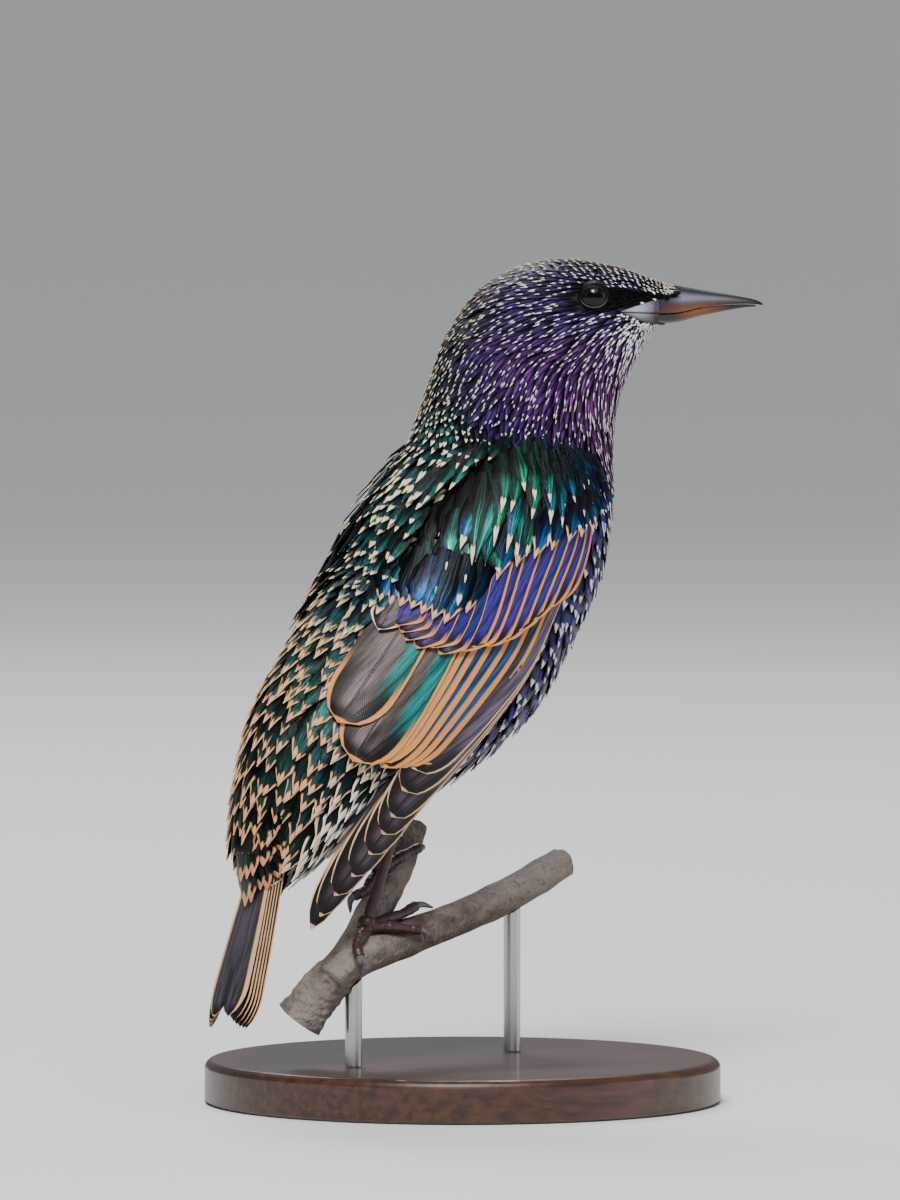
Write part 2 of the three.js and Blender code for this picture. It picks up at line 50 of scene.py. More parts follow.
# One row a station, from the tail to the bill: back line x and z, belly line x and z, half width, turn
# about the neck in degrees
BODY = np.array([
    [-64.0, 29.0, -59.5, 28.0, 6.0, 0],
    [-62.8, 40.5, -56.6, 38.5, 7.0, 0],
    [-63.2, 52.0, -46.0, 46.0, 11.5, 0],
    [-61.2, 67.5, -33.0, 54.5, 15.5, 0],
    [-55.4, 84.4, -22.6, 60.0, 19.2, 0],
    [-46.0, 98.4, -11.2, 63.0, 21.9, 0],
    [-37.4, 109.0, 2.6, 70.0, 23.6, 0],
    [-31.0, 116.8, 16.8, 81.5, 24.4, 0],
    [-23.8, 128.4, 26.4, 96.0, 24.6, 0],
    [-15.4, 138.6, 34.2, 110.0, 24.0, 0],
    [-11.0, 145.2, 37.8, 124.7, 22.8, 0],
    [-7.4, 151.0, 39.0, 136.0, 21.4, -8],
    [-4.0, 158.6, 39.6, 146.3, 18.8, -17],
    [-1.0, 166.2, 41.2, 154.8, 16.4, -25],
    [2.6, 172.4, 43.4, 160.1, 14.2, -31],
    [9.0, 180.0, 45.7, 164.6, 12.0, -35],
    [18.9, 185.2, 47.0, 167.2, 10.4, -35],
    [28.8, 186.4, 48.1, 169.0, 9.1, -35],
    [39.9, 184.7, 49.4, 170.3, 7.4, -35],
    [46.8, 182.4, 50.5, 170.9, 6.1, -35],
    [52.0, 180.6, 52.0, 171.4, 4.6, -35],
])
# The form that the folded wings lie on, from the shoulder to the tail, with the same columns
CLOAK = np.array([
    [-4.0, 151.0, 41.0, 136.0, 22.6, 0],
    [-9.2, 145.0, 40.2, 124.0, 25.4, 0],
    [-14.6, 139.4, 36.0, 109.0, 27.2, 0],
    [-23.6, 128.8, 28.0, 95.0, 28.0, 0],
    [-30.6, 117.2, 19.0, 80.0, 27.6, 0],
    [-36.4, 109.4, 6.0, 66.5, 26.4, 0],
    [-44.2, 98.4, -5.0, 57.5, 24.4, 0],
    [-53.6, 85.0, -14.0, 50.5, 21.8, 0],
    [-59.4, 71.0, -21.5, 43.5, 19.4, 0],
    [-61.8, 58.0, -29.5, 37.0, 17.4, 0],
    [-63.5, 45.0, -38.5, 30.0, 15.6, 0],
    [-65.5, 29.0, -47.5, 19.5, 14.0, 0],
])
# The body with one station more, for the feathers round the bill's root
FACE = np.vstack([BODY, [55.4, 179.95, 55.4, 175.0, 3.95, -35]])


def linear(code):
    """A linear colour from six hexadecimal digits."""
    parts = np.array([int(code[i:i + 2], 16) for i in (0, 2, 4)]) / 255
    return np.where(parts < 0.04045, parts / 12.92, ((parts + 0.055) / 1.055) ** 2.4)


def blend(first, second, share):
    """first where share is 0 and second where it is 1, each a linear colour or its six digits."""
    first, second = (linear(k) if isinstance(k, str) else k for k in (first, second))
    return first * (1 - share) + second * share


def read_off(table, at):
    """Straight between the rows of a table of pairs."""
    return np.interp(at, *np.array(table, float).T)


def full_turn(count):
    """Even angles round a full turn, in radians."""
    return np.arange(count) * 2 * math.pi / count


# Surfaces that feathers and skin are laid on

def smooth(rows, t):
    """A smooth curve through the rows of a table, at any array of stations."""
    t = np.clip(t, 0, len(rows) - 1)
    i = np.minimum(t.astype(int), len(rows) - 2)
    f = (t - i)[..., None]
    a, b, c, d = (rows[np.clip(i + k, 0, len(rows) - 1)] for k in (-1, 0, 1, 2))
    return b + 0.5 * f * (c - a + f * (2 * a - 5 * b + 4 * c - d + f * (3 * (b - c) + d - a)))


def around(rows, side=-1):
    """place(t, angle, lift) on a table's form, with the angle in degrees round from the back line."""
    def place(t, angle, lift):
        bx, bz, vx, vz, half, turn = np.moveaxis(smooth(rows, np.asarray(t, float)), -1, 0)
        depth = np.hypot(bx - vx, bz - vz) / 2
        grow = (1 + lift / depth) * np.cos(np.radians(angle))
        x = (bx + vx) / 2 + (bx - vx) / 2 * grow - NECK_X
        y = side * (half + lift) * np.sin(np.radians(angle))
        c, s = np.cos(np.radians(turn)), np.sin(np.radians(turn))
        up = (bz + vz) / 2 + (bz - vz) / 2 * grow + LIFT
        return np.stack([NECK_X + x * c - y * s, x * s + y * c, up], -1)
    return place


def station_length(place, t, angle, step=0.05):
    """How many millimetres a station takes up on the surface, at t and angle."""
    return np.linalg.norm(place(t + step, angle, 0) - place(t - step, angle, 0), axis=-1) / (2 * step)


def in_head(ahead, right, up):
    """A point ahead of the neck axis, to the head's right, and up."""
    c, s = math.cos(HEAD_TURN), math.sin(HEAD_TURN)
    ahead, right, up = np.broadcast_arrays(ahead, right, up)
    return np.stack([NECK_X + ahead * c + right * s, ahead * s - right * c, up + LIFT], -1)


def head_coords(points):
    """The reverse of in_head: ahead, right and up of each point."""
    c, s = math.cos(HEAD_TURN), math.sin(HEAD_TURN)
    x, y = points[..., 0] - NECK_X, points[..., 1]
    return x * c + y * s, x * s - y * c, points[..., 2] - LIFT


TAIL_PITCH, TAIL_ROLL = math.radians(72), math.radians(9)
TAIL_TIP = np.array([-68.0, 0.0, 10.6 + LIFT])
TAIL_BOW = 90  # the tail's sheet falls by out * out / TAIL_BOW on either side of its middle
TAIL_AXIS = np.array([-math.cos(TAIL_PITCH), 0, -math.sin(TAIL_PITCH)])
TAIL_UP = np.array([TAIL_AXIS[2], 0, -TAIL_AXIS[0]])
TAIL_ACROSS = np.array([0, 1, 0]) * math.cos(TAIL_ROLL) - TAIL_UP * math.sin(TAIL_ROLL)
TAIL_OUT = TAIL_UP * math.cos(TAIL_ROLL) + np.array([0, 1, 0]) * math.sin(TAIL_ROLL)


def on_tail(flip):
    """place(t, out, lift) on the tail's sheet: t mm from the tip, out mm from the middle."""
    def place(t, out, lift):
        t, out, lift = (np.asarray(k, float)[..., None] for k in np.broadcast_arrays(t, out, lift))
        return TAIL_TIP - TAIL_AXIS * t + TAIL_ACROSS * out * flip + TAIL_OUT * (lift - out * out / TAIL_BOW)
    return place


class Curve:
    """A centripetal Catmull-Rom curve through points, by share of its length."""

    STEPS = 40

    def __init__(self, points):
        p = np.array(points, float)
        p = np.vstack([2 * p[0] - p[1], p, 2 * p[-1] - p[-2]])
        out = []
        for k in range(1, len(p) - 2):
            d0, d1, d2 = (max(np.linalg.norm(p[k + j] - p[k + j - 1]) ** 0.5, 1e-4) for j in (0, 1, 2))
            s = (p[k] - p[k - 1]) / d0 - (p[k + 1] - p[k - 1]) / (d0 + d1) + (p[k + 1] - p[k]) / d1
            e = (p[k + 1] - p[k]) / d1 - (p[k + 2] - p[k]) / (d1 + d2) + (p[k + 2] - p[k + 1]) / d2
            f = np.linspace(0, 1, self.STEPS, endpoint=k == len(p) - 3)[:, None]
            out.append(p[k] + s * d1 * f + (-3 * p[k] + 3 * p[k + 1] - (2 * s + e) * d1) * f ** 2
                       + (2 * p[k] - 2 * p[k + 1] + (s + e) * d1) * f ** 3)
        self.line = np.vstack(out)
        self.run = np.concatenate([[0], np.cumsum(np.linalg.norm(np.diff(self.line, axis=0), axis=1))])
        self.length = self.run[-1]
        ahead = np.gradient(self.line, axis=0)
        self.ahead = ahead / np.linalg.norm(ahead, axis=1)[:, None]
        side = np.cross(self.ahead[0], [0.31, 0.2, 0.93])
        sides = []
        for a in self.ahead:
            side = side - a * (side @ a)
            side = side / np.linalg.norm(side)
            sides.append(side)
        self.side = np.array(sides)

    def pick(self, rows, f):
        at = np.clip(np.asarray(f, float), 0, 1) * self.length
        return np.stack([np.interp(at, self.run, rows[:, k]) for k in range(3)], -1)

    def place(self, radius):
        """place(f, angle, lift) on a round skin of radius(f) about the curve."""
        def place(f, angle, lift):
            f, angle, lift = np.broadcast_arrays(np.asarray(f, float), angle, lift)
            side, ahead = self.pick(self.side, f), self.pick(self.ahead, f)
            other = np.cross(ahead, side)
            a, r = np.radians(angle)[..., None], (radius(f) + lift)[..., None]
            return self.pick(self.line, f) + (side * np.cos(a) + other * np.sin(a)) * r
        return place


# Meshes

def mesh_piece(name, points, faces, material, smooth_faces=True, colours=None, uvs=None, vectors=None):
    """A mesh in millimetres becomes a piece in metres, with named colours, vectors and UV maps."""
    mesh = bpy.data.meshes.new(name)
    points = np.asarray(points, float).reshape(-1, 3) * MM
    faces = np.asarray(faces)
    mesh.vertices.add(len(points))
    mesh.vertices.foreach_set("co", points.ravel())
    corners = faces.ravel()
    mesh.loops.add(len(corners))
    mesh.loops.foreach_set("vertex_index", corners)
    mesh.polygons.add(len(faces))
    mesh.polygons.foreach_set("loop_start", np.arange(len(faces)) * faces.shape[1])
    mesh.polygons.foreach_set("use_smooth", np.full(len(faces), smooth_faces))
    mesh.update(calc_edges=True)
    for key, values in (colours or {}).items():
        rgba = np.ones((len(points), 4))
        rgba[:, :3] = values
        mesh.attributes.new(key, "FLOAT_COLOR", "POINT").data.foreach_set("color", rgba.ravel())
    for key, values in (vectors or {}).items():
        mesh.attributes.new(key, "FLOAT_VECTOR", "POINT").data.foreach_set("vector", np.ravel(values))
    for key, values in (uvs or {}).items():
        mesh.uv_layers.new(name=key).data.foreach_set("uv", np.asarray(values)[corners].ravel())
    mesh.materials.append(material)
    mesh.validate()
    piece = bpy.data.objects.new(name, mesh)
    bpy.context.scene.collection.objects.link(piece)
    return piece


def grid_faces(rows, cols, wrap=False):
    """Quads over a grid of points, joined round its columns if wrap."""
    i, j = np.meshgrid(np.arange(rows - 1), np.arange(cols if wrap else cols - 1), indexing="ij")
    k = (j + 1) % cols
    return np.stack([i * cols + j, i * cols + k, (i + 1) * cols + k, (i + 1) * cols + j], -1).reshape(-1, 4)


def drawn_in(points):
    """A grid of rings with one more ring at each end, drawn in to a point."""
    first, last = (np.repeat(points[k].mean(0)[None], points.shape[1], 0)[None] for k in (0, -1))
    return np.concatenate([first, points, last])


def loft(place, rows, cols, start=0.0, end=1.0):
    """Points and faces of a closed skin over place, with both ends drawn in to a point."""
    f, a = np.meshgrid(np.linspace(start, end, rows), np.arange(cols) * 360 / cols, indexing="ij")
    return drawn_in(place(f, a, 0.0)), grid_faces(rows + 2, cols, wrap=True)


# Each feather has its own small patch of the baked map: how far the patches spread, and how wide one is
BAKE_SPREAD, BAKE_PATCH = 0.99, 0.003


class Coat:
    """Many vanes gathered into one mesh."""

    def __init__(self, name, material, nodes=()):
        self.name, self.material, self.nodes = name, material, nodes
        self.points, self.faces, self.count = [], [], 0
        self.colours = {"col": [], "tip": [], "glow": []}
        self.mark, self.vane, self.bake = [], [], []

    def add(self, points, u, v, col, tip, mark, place_uv, glow=None):
        n, rows, cols, _ = points.shape
        per = rows * cols
        offsets = self.count + np.arange(n)[:, None, None] * per
        self.faces.append((grid_faces(rows, cols)[None] + offsets).reshape(-1, 4))
        self.count += n * per
        self.points.append(points.reshape(-1, 3))
        glow = col if glow is None else glow
        for key, values in (("col", col), ("tip", tip), ("glow", glow)):
            self.colours[key].append(np.repeat(np.broadcast_to(values, (n, 3)), per, 0))
        self.mark.append(np.repeat(np.broadcast_to(mark, (n, 3)), per, 0))
        local = np.stack([np.broadcast_to(k, (1, rows, cols)) for k in ((v + 1) / 2, u)], -1)
        local = local.reshape(1, per, 2)
        self.vane.append(np.broadcast_to(local, (n, per, 2)).reshape(-1, 2))
        bake = np.asarray(place_uv)[:, None] * BAKE_SPREAD + BAKE_PATCH * local
        self.bake.append(bake.reshape(-1, 2))

    def finish(self):
        piece = mesh_piece(
            self.name, np.concatenate(self.points), np.concatenate(self.faces), self.material,
            colours={k: np.concatenate(v) for k, v in self.colours.items()},
            vectors={"mark": np.concatenate(self.mark)},
            uvs={"OFBake": np.concatenate(self.bake), "vane": np.concatenate(self.vane)},
        )
        print(self.name, "triangles", 2 * len(piece.data.polygons))
        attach(piece, "root")
        if self.nodes:
            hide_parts(*self.nodes)
        return piece


def vanes(place, root, tip, width, lift, rows, cols, point, camber=0.16, widest=0.6, tuck=0.0,
          shaft=0.0, fray=0.0):
    """Sheets from root to tip, both (n, 2) of t and angle on the surface, following its curve.

    lift is (n, 2), at root and tip; point is 0 for a round end and 1 for a sharp one; widest is where along
    its length a sheet stops widening. camber raises its middle, tuck tilts it, shaft is the quill's height
    and fray makes its edges ragged.
    """
    root, tip, lift = (np.asarray(k, float)[:, :, None, None] for k in (root, tip, lift))
    n = len(root)
    width, tuck, point, widest = (
        np.broadcast_to(np.asarray(k, float), (n,))[:, None, None] for k in (width, tuck, point, widest)
    )
    u = np.linspace(0, 1, rows)[None, :, None] ** 0.85  # closer rows towards the tip
    v = np.linspace(-1, 1, cols)[None, None, :]
    t = root[:, 0] + (tip - root)[:, 0] * u
    a = root[:, 1] + (tip - root)[:, 1] * u
    per_station = station_length(place, t, a, 0.02)
    per_degree = np.linalg.norm(place(t, a + 0.5, 0) - place(t, a - 0.5, 0), axis=-1)
    run_t = (tip - root)[:, 0] * per_station
    run_a = (tip - root)[:, 1] * per_degree
    size = np.hypot(run_t, run_a)
    rise = 1 - 0.55 * (1 - np.minimum(u / widest, 1)) ** 2
    end = np.clip((u - widest) / (1 - widest), 0, 1)
    fall = (1 - end ** (2.2 - 1.1 * point)) ** (0.5 + 0.5 * point)
    half = np.maximum(rise * fall, 0.02) * width / 2
    ragged = 1 + fray * rng.normal(0, 1, (n, rows, 2))
    off = v * half * np.where(v < 0, ragged[..., :1], ragged[..., 1:])
    top = lift[:, 0] + (lift[:, 1] - lift[:, 0]) * u ** 1.2
    top = top + camber * width * (1 - v * v) * 0.5 + tuck * v / 2
    top = top + shaft * np.exp(-((v / 0.13) ** 2))
    points = place(t - run_a / size * off / per_station, a + run_t / size * off / per_degree, top)
    return points, u, v


# Materials

class Value:
    """A float in a material's graph, with arithmetic."""

    def __init__(self, graph, socket):
        self.graph, self.socket = graph, socket

    def run(self, operation, *others):
        return self.graph.math(operation, self, *others)

    def __add__(self, other):
        return self.run("ADD", other)

    def __mul__(self, other):
        return self.run("MULTIPLY", other)

    def __sub__(self, other):
        return self.run("SUBTRACT", other)

    def __truediv__(self, other):
        return self.run("DIVIDE", other)

    def __rsub__(self, other):
        return self.graph.math("SUBTRACT", other, self)

    __radd__, __rmul__ = __add__, __mul__

    def ramp(self, low, high):
        """0 below low and 1 above high, smoothly between."""
        node = self.graph.add("ShaderNodeMapRange", {"interpolation_type": "SMOOTHSTEP"}, Value=self)
        self.graph.feed(node.inputs["From Min"], low)
        self.graph.feed(node.inputs["From Max"], high)
        return Value(self.graph, node.outputs[0])


class Graph:
    """A material and its nodes."""

    def __init__(self, name, **shader):
        self.material = bpy.data.materials.new(name)
        self.material.use_nodes = True
        self.tree = self.material.node_tree
        self.shader = self.tree.nodes["Principled BSDF"]
        for key, value in shader.items():
            self.feed(self.shader.inputs[key.replace("_", " ")], value)

    def feed(self, socket, value):
        if isinstance(value, Value):
            value = value.socket
        if isinstance(value, bpy.types.NodeSocket):
            self.tree.links.new(value, socket)
        else:
            socket.default_value = value

    def add(self, kind, settings=None, **inputs):
        node = self.tree.nodes.new(kind)
        for key, value in (settings or {}).items():
            setattr(node, key, value)
        for key, value in inputs.items():
            self.feed(node.inputs[key], value)
        return node

    def math(self, operation, *values):
        node = self.add("ShaderNodeMath", {"operation": operation})
        for socket, value in zip(node.inputs, values):
            self.feed(socket, value)
        return Value(self, node.outputs[0])

    def attribute(self, name, output="Color"):
        return self.add("ShaderNodeAttribute", {"attribute_name": name}).outputs[output]

    def split(self, vector):
        node = self.add("ShaderNodeSeparateXYZ", Vector=vector)
        return [Value(self, k) for k in node.outputs]

    def mix(self, factor, a, b, mode="MIX"):
        node = self.add("ShaderNodeMix", {"data_type": "RGBA", "blend_type": mode})
        for index, value in ((0, factor), (6, a), (7, b)):
            if isinstance(value, str):
                value = (*linear(value), 1)
            self.feed(node.inputs[index], value)
        return node.outputs[2]

    def grey(self, value):
        return self.add("ShaderNodeCombineXYZ", X=value, Y=value, Z=value).outputs[0]

    def noise(self, scale, detail, stretch=None, roughness=0.55, spot=None):
        spot = spot or self.add("ShaderNodeTexCoord").outputs["Object"]
        if stretch:
            spot = self.add("ShaderNodeMapping", Vector=spot, Scale=stretch).outputs[0]
        node = self.add("ShaderNodeTexNoise", Vector=spot, Scale=scale, Detail=detail, Roughness=roughness)
        return Value(self, node.outputs[0])

    def bump(self, height, distance, strength):
        node = self.add("ShaderNodeBump", Height=height, Distance=distance, Strength=strength)
        self.feed(self.shader.inputs["Normal"], node.outputs[0])

    def set(self, **inputs):
        for key, value in inputs.items():
            self.feed(self.shader.inputs[key.replace("_", " ")], value)
        return self.material


def body_feather_material():
    """Small feathers: col, a sheen of glow on one web, painted shade at edges and root, a pale heart or vee
    tip.
    """
    g = Graph("feathers", Specular_IOR_Level=0.25)
    across, along, _ = g.split(g.add("ShaderNodeUVMap", {"uv_map": "vane"}).outputs[0])
    side = across * 2 - 1
    v = g.math("ABSOLUTE", side)
    extent, fringe, chance = g.split(g.attribute("mark", "Vector"))
    spot = g.add("ShaderNodeCombineXYZ", X=across * 7, Y=along * 1.6, Z=chance * 60).outputs[0]
    streak = g.noise(1.0, 3, spot=spot, roughness=0.7)
    ragged = (streak - 0.5) * 0.16
    heart = (along - 1 + extent * (0.62 + v - 1.45 * v * v) + ragged * 0.3).ramp(-0.015, 0.02)
    heart = heart * (1 - (v + ragged).ramp(0.62, 0.85))
    band = (v + ragged).ramp(0.62, 0.78) * (along - 1 + extent * (0.6 + chance * 0.45)).ramp(-0.05, 0.04)
    end = (along - 1 + extent * (0.6 - 0.4 * v)).ramp(-0.02, 0.02)
    vee = g.math("MAXIMUM", band, end)
    mark = heart + (vee - heart) * fringe
    strong = streak.ramp(0.3, 0.72)
    # Darker at both edges and towards the root: painted shade in the gaps between overlapping feathers
    edge = v.ramp(0.45, 0.95)
    quill = 1 - v.ramp(0.02, 0.09)
    painted_root_shade = 0.1 + 0.9 * along.ramp(0.3, 0.75)
    shade = (0.1 + 1.6 * strong) * (1 - 0.92 * edge) * painted_root_shade * (1 + 0.8 * quill)
    sheen = side.ramp(-0.35, 0.3) * (0.35 + 0.65 * chance)
    colour = g.mix(sheen, g.attribute("col"), g.attribute("glow"))
    colour = g.mix(1.0, colour, g.grey(shade), "MULTIPLY")
    pale = g.mix(streak * 0.25, g.attribute("tip"), "f4efe6")
    colour = g.mix(mark, colour, pale)
    g.bump(strong * 0.7 + (1 - v) * 0.5, 0.00015, 0.6)
    return g.set(Base_Color=colour, Roughness=0.36 + 0.34 * mark, Metallic=0.6 * (1 - mark))


def flight_feather_material():
    """Long feathers: a pale fringe on the outer web and tip, a dark band within it, and a gloss of glow."""
    g = Graph("flight_feathers", Specular_IOR_Level=0.4)
    across, along, _ = g.split(g.add("ShaderNodeUVMap", {"uv_map": "vane"}).outputs[0])
    v = across * 2 - 1
    far = g.math("ABSOLUTE", v)
    outer, end, gloss = g.split(g.attribute("mark", "Vector"))
    spot = g.add("ShaderNodeCombineXYZ", X=across * 14 + along * 9, Y=along * 3).outputs[0]
    streak = g.noise(1.0, 4, spot=spot, roughness=0.7)
    ragged = streak - 0.5
    edge = 1 - v + ragged * 0.06
    side = 1 - (edge / outer).ramp(0.75, 1.2)
    rim = g.math("SMOOTH_MIN", 1 - far, (1 - along) * 8, 0.15) + ragged * 0.05
    zone = along.ramp(0.68, 0.84)
    tip = (1 - (rim / (end * 8)).ramp(0.8, 1.2)) * zone
    fringe = g.math("MAXIMUM", side, tip)
    near = 1 - (edge / outer).ramp(1.3, 2.6)
    band = (1 - (rim - end * 8).ramp(0.2, 0.62)) * zone
    dark = g.math("MAXIMUM", near * 0.5, band * 0.9)
    barbs = g.math("SINE", (along * 60 - far * 10) * 9)
    shade = (0.12 + 1.9 * streak.ramp(0.25, 0.75) + 0.05 * barbs) * (1 - dark)
    whole = gloss - 1
    web = v.ramp(0.34, 0.56) * (1 - along.ramp(0.72, 0.93))
    shine = g.math("MINIMUM", gloss, 1.0) * g.math("MAXIMUM", web, whole) * (0.45 + 1.1 * streak)
    colour = g.mix(shine, g.attribute("col"), g.attribute("glow"))
    colour = g.mix(1.0, colour, g.grey(shade), "MULTIPLY")
    quill = 1 - far.ramp(0.015, 0.05)
    colour = g.mix(quill * 0.6, colour, "120d0c")
    pale = g.mix(streak.ramp(0.45, 0.7) * 0.6, g.attribute("tip"), g.mix(0.5, g.attribute("tip"), "4a3220"))
    colour = g.mix(fringe, colour, pale)
    g.bump(barbs * 0.25 + streak + quill * 2, 0.0001, 0.5)
    return g.set(Base_Color=colour, Roughness=0.38 + 0.25 * fringe, Metallic=0.35 * (1 - fringe))


def attribute_material(name, grain, grain_scale, depth, **shader):
    """A piece coloured by its own points, with a little grain in colour and height."""
    g = Graph(name, **shader)
    rough = g.noise(grain_scale, 4)
    colour = g.mix(1.0, g.attribute("col"), g.grey(1 - grain / 2 + grain * rough), "MULTIPLY")
    g.bump(rough, depth, 0.5)
    return g.set(Base_Color=colour)


feather_stuff = body_feather_material()
flight_stuff = flight_feather_material()
skin_stuff = attribute_material("skin", 0.3, 900, 0.0001, Roughness=0.65, Specular_IOR_Level=0.2)
horn_stuff = attribute_material("bill_horn", 0.35, 600, 0.00008, Roughness=0.42, Specular_IOR_Level=0.4)
eye_stuff = attribute_material("eye_wet", 0.1, 400, 0.0, Roughness=0.05, Specular_IOR_Level=0.28)
scale_stuff = attribute_material("leg_scales", 0.4, 900, 0.0002, Roughness=0.42)
claw_stuff = attribute_material("claw_horn", 0.2, 900, 0.00005, Roughness=0.3)


# Plumage colours: station, angle from the back, feather, its sheen, tip, how far the tip mark reaches,
# and the mark's kind from 0 a heart to 1 a vee. Each row holds near its own place, and between rows
# the colours run together.
ZONES = [
    (1.5, 20, "17130f", "2a2018", "c67c3e", 0.5, 1.0),
    (3.0, 20, "0d2a22", "174034", "cc8648", 0.42, 1.0),
    (3.0, 70, "0d2421", "14382e", "ca8446", 0.42, 1.0),
    (3.6, 108, "08090c", "14141a", "ece6dc", 0.5, 1.0),
    (5.0, 20, "0c2f2c", "145048", "d89e62", 0.36, 0.95),
    (5.0, 70, "0c2c30", "14505a", "d9a468", 0.34, 0.9),
    (7.0, 20, "0c2c34", "146070", "e4be84", 0.27, 0.5),
    (8.5, 10, "0b2f34", "136a62", "ecd8ac", 0.3, 0.1),
    (8.5, 55, "0b2f3a", "136a62", "ecd9b0", 0.3, 0.1),
    (10.5, 15, "0e3038", "1a6a60", "ead6ae", 0.3, 0.0),
    (12.0, 15, "171a30", "254a50", "d8c09c", 0.24, 0.0),
    (14.5, 10, "1c1024", "3a2440", "cdb48e", 0.24, 0.0),
    (17.0, 10, "1e1630", "4a3c66", "dccaa8", 0.36, 0.0),
    (19.3, 10, "342e40", "50485e", "ded4c4", 0.4, 0.0),
    (16.5, 55, "1c1638", "443c74", "dfd6cc", 0.3, 0.0),
    (16.0, 100, "2a1a4c", "4a3478", "e4dde0", 0.3, 0.0),
    (18.6, 120, "454052", "5a5670", "ece8e6", 0.55, 0.0),
    (17.2, 165, "403a50", "565070", "eae6e4", 0.5, 0.0),
    (14.5, 100, "34164c", "633072", "dccfdc", 0.24, 0.0),
    (14.4, 150, "44205a", "784488", "e4d8e2", 0.34, 0.0),
    (12.3, 60, "281848", "542a70", "d8c8c8", 0.24, 0.0),
    (12.3, 105, "3a1a5a", "74387e", "dccfdc", 0.22, 0.0),
    (12.3, 160, "6a3a6c", "9a5a92", "ece0e6", 0.34, 0.0),
    (10.4, 95, "122c6a", "1c4e92", "e6e0e8", 0.26, 0.0),
    (10.2, 150, "241f58", "46348a", "ece6ee", 0.28, 0.1),
    (8.5, 110, "141058", "302a98", "eceaf2", 0.28, 0.1),
    (8.0, 150, "14104e", "2e2488", "f0eef4", 0.26, 0.15),
    (6.0, 150, "100e3a", "241e72", "f2f0f4", 0.28, 0.3),
    (4.0, 150, "0e0f2c", "1c1c50", "f0eef0", 0.36, 0.8),
    (1.5, 150, "07080b", "101014", "f2ede4", 0.5, 1.0),
]
ZONE_AT = np.array([z[:2] for z in ZONES], float)
ZONE_REACH = (1.1, 24)  # how far a row's colours reach, in stations and degrees
ZONE_VALUES = np.array([[*linear(z[2]), *linear(z[3]), *linear(z[4]), z[5], z[6]] for z in ZONES])


def plumage(t, angle):
    """Feather colour, sheen, tip colour, mark reach and mark kind at stations and angles."""
    angle = np.abs(angle)
    gap = ((t[:, None] - ZONE_AT[:, 0]) / ZONE_REACH[0]) ** 2
    gap = gap + ((angle[:, None] - ZONE_AT[:, 1]) / ZONE_REACH[1]) ** 2
    weight = np.exp(-gap) + 1e-9 / (gap + 0.1)  # the second term decides only where every row is far off
    values = (weight / weight.sum(1, keepdims=True)) @ ZONE_VALUES
    return values[:, :3], values[:, 3:6], values[:, 6:9], values[:, 9], values[:, 10]


def skin_depth(t):
    """How far the skin lies under the tips of the coat."""
    return np.interp(t, [0, 3, 10, 14, 18, 20, 21], [0.8, 1.6, 1.6, 1.0, 0.5, 0.3, 0.05])


# Skin, with lids drawn out over the eyes

body_place = around(BODY)
face_place = around(FACE)
OPENING = (3.1, 2.35)  # half width and half height of the eye's opening
EYE_GAP = 0.12  # between the eyeball and the skin drawn out over it
LORE_BLACK = "0a080c"
# The upper and lower edge of the black wedge from the eye to the nostril: distance ahead, and height
LORE_TOP = [(9, 180.6), (11.5, 180.2), (17, 179.6), (23, 178.9), (25, 178.5), (28, 177.9)]
LORE_LOW = [(7, 176), (9, 174.8), (14.5, 174.1), (16.8, 174.8), (20.8, 176), (23.1, 176.9), (25, 177.3),
            (28, 177.6)]


def eye_centre(side):
    return in_head(EYE_AHEAD, -side * EYE_OUT, EYE_UP)


def head_ways(side):
    """The directions out of the head on one side, and ahead."""
    middle = in_head(0.0, 0.0, 0.0)
    return in_head(0.0, -side, 0.0) - middle, in_head(1.0, 0.0, 0.0) - middle


def opening_share(points):
    """1 on the rim of either eye's opening and less inside it."""
    ahead, right, up = head_coords(points)
    share = np.hypot((ahead - EYE_AHEAD) / OPENING[0], (up - EYE_UP) / OPENING[1])
    return np.where(np.abs(right) > 4, share, 99.0)


def make_skin():
    rows, cols = 260, 128
    t, a = np.meshgrid(np.linspace(2.0, 20, rows), np.arange(cols) * 360 / cols - 180, indexing="ij")
    points = body_place(t, a, -skin_depth(t))
    cover = EYE_RADIUS + EYE_GAP
    for _, side in SIDES:
        away = points - eye_centre(side)
        far = np.linalg.norm(away, axis=-1, keepdims=True)
        points = np.where(far < cover, eye_centre(side) + away / far * cover, points)
    flat = points.reshape(-1, 3)
    colour = blend(plumage(t.ravel(), a.ravel())[0] * 0.5, LORE_BLACK, lore_share(flat)[:, None])
    # Darker still towards the rim of each eye's opening: painted shade in the socket round the eye
    colour = colour * np.clip((opening_share(flat) - 1.2) / 0.8, 0.15, 1)[:, None]
    colour = np.concatenate([colour[:cols], colour, np.repeat(linear(LORE_BLACK)[None], cols, 0)])
    points = drawn_in(points).reshape(-1, 3)
    faces = grid_faces(rows + 2, cols, wrap=True)
    open_eye = opening_share(points[faces].mean(1)) < 0.97
    along, across = np.meshgrid(np.arange(rows + 2) / (rows + 2), np.arange(cols) / cols, indexing="ij")
    skin = mesh_piece("skin", points, faces[~open_eye], skin_stuff, colours={"col": colour},
                      uvs={"OFBake": np.stack([across, along], -1).reshape(-1, 2)})
    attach(skin, "root")
    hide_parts("head", "neck", "torso")


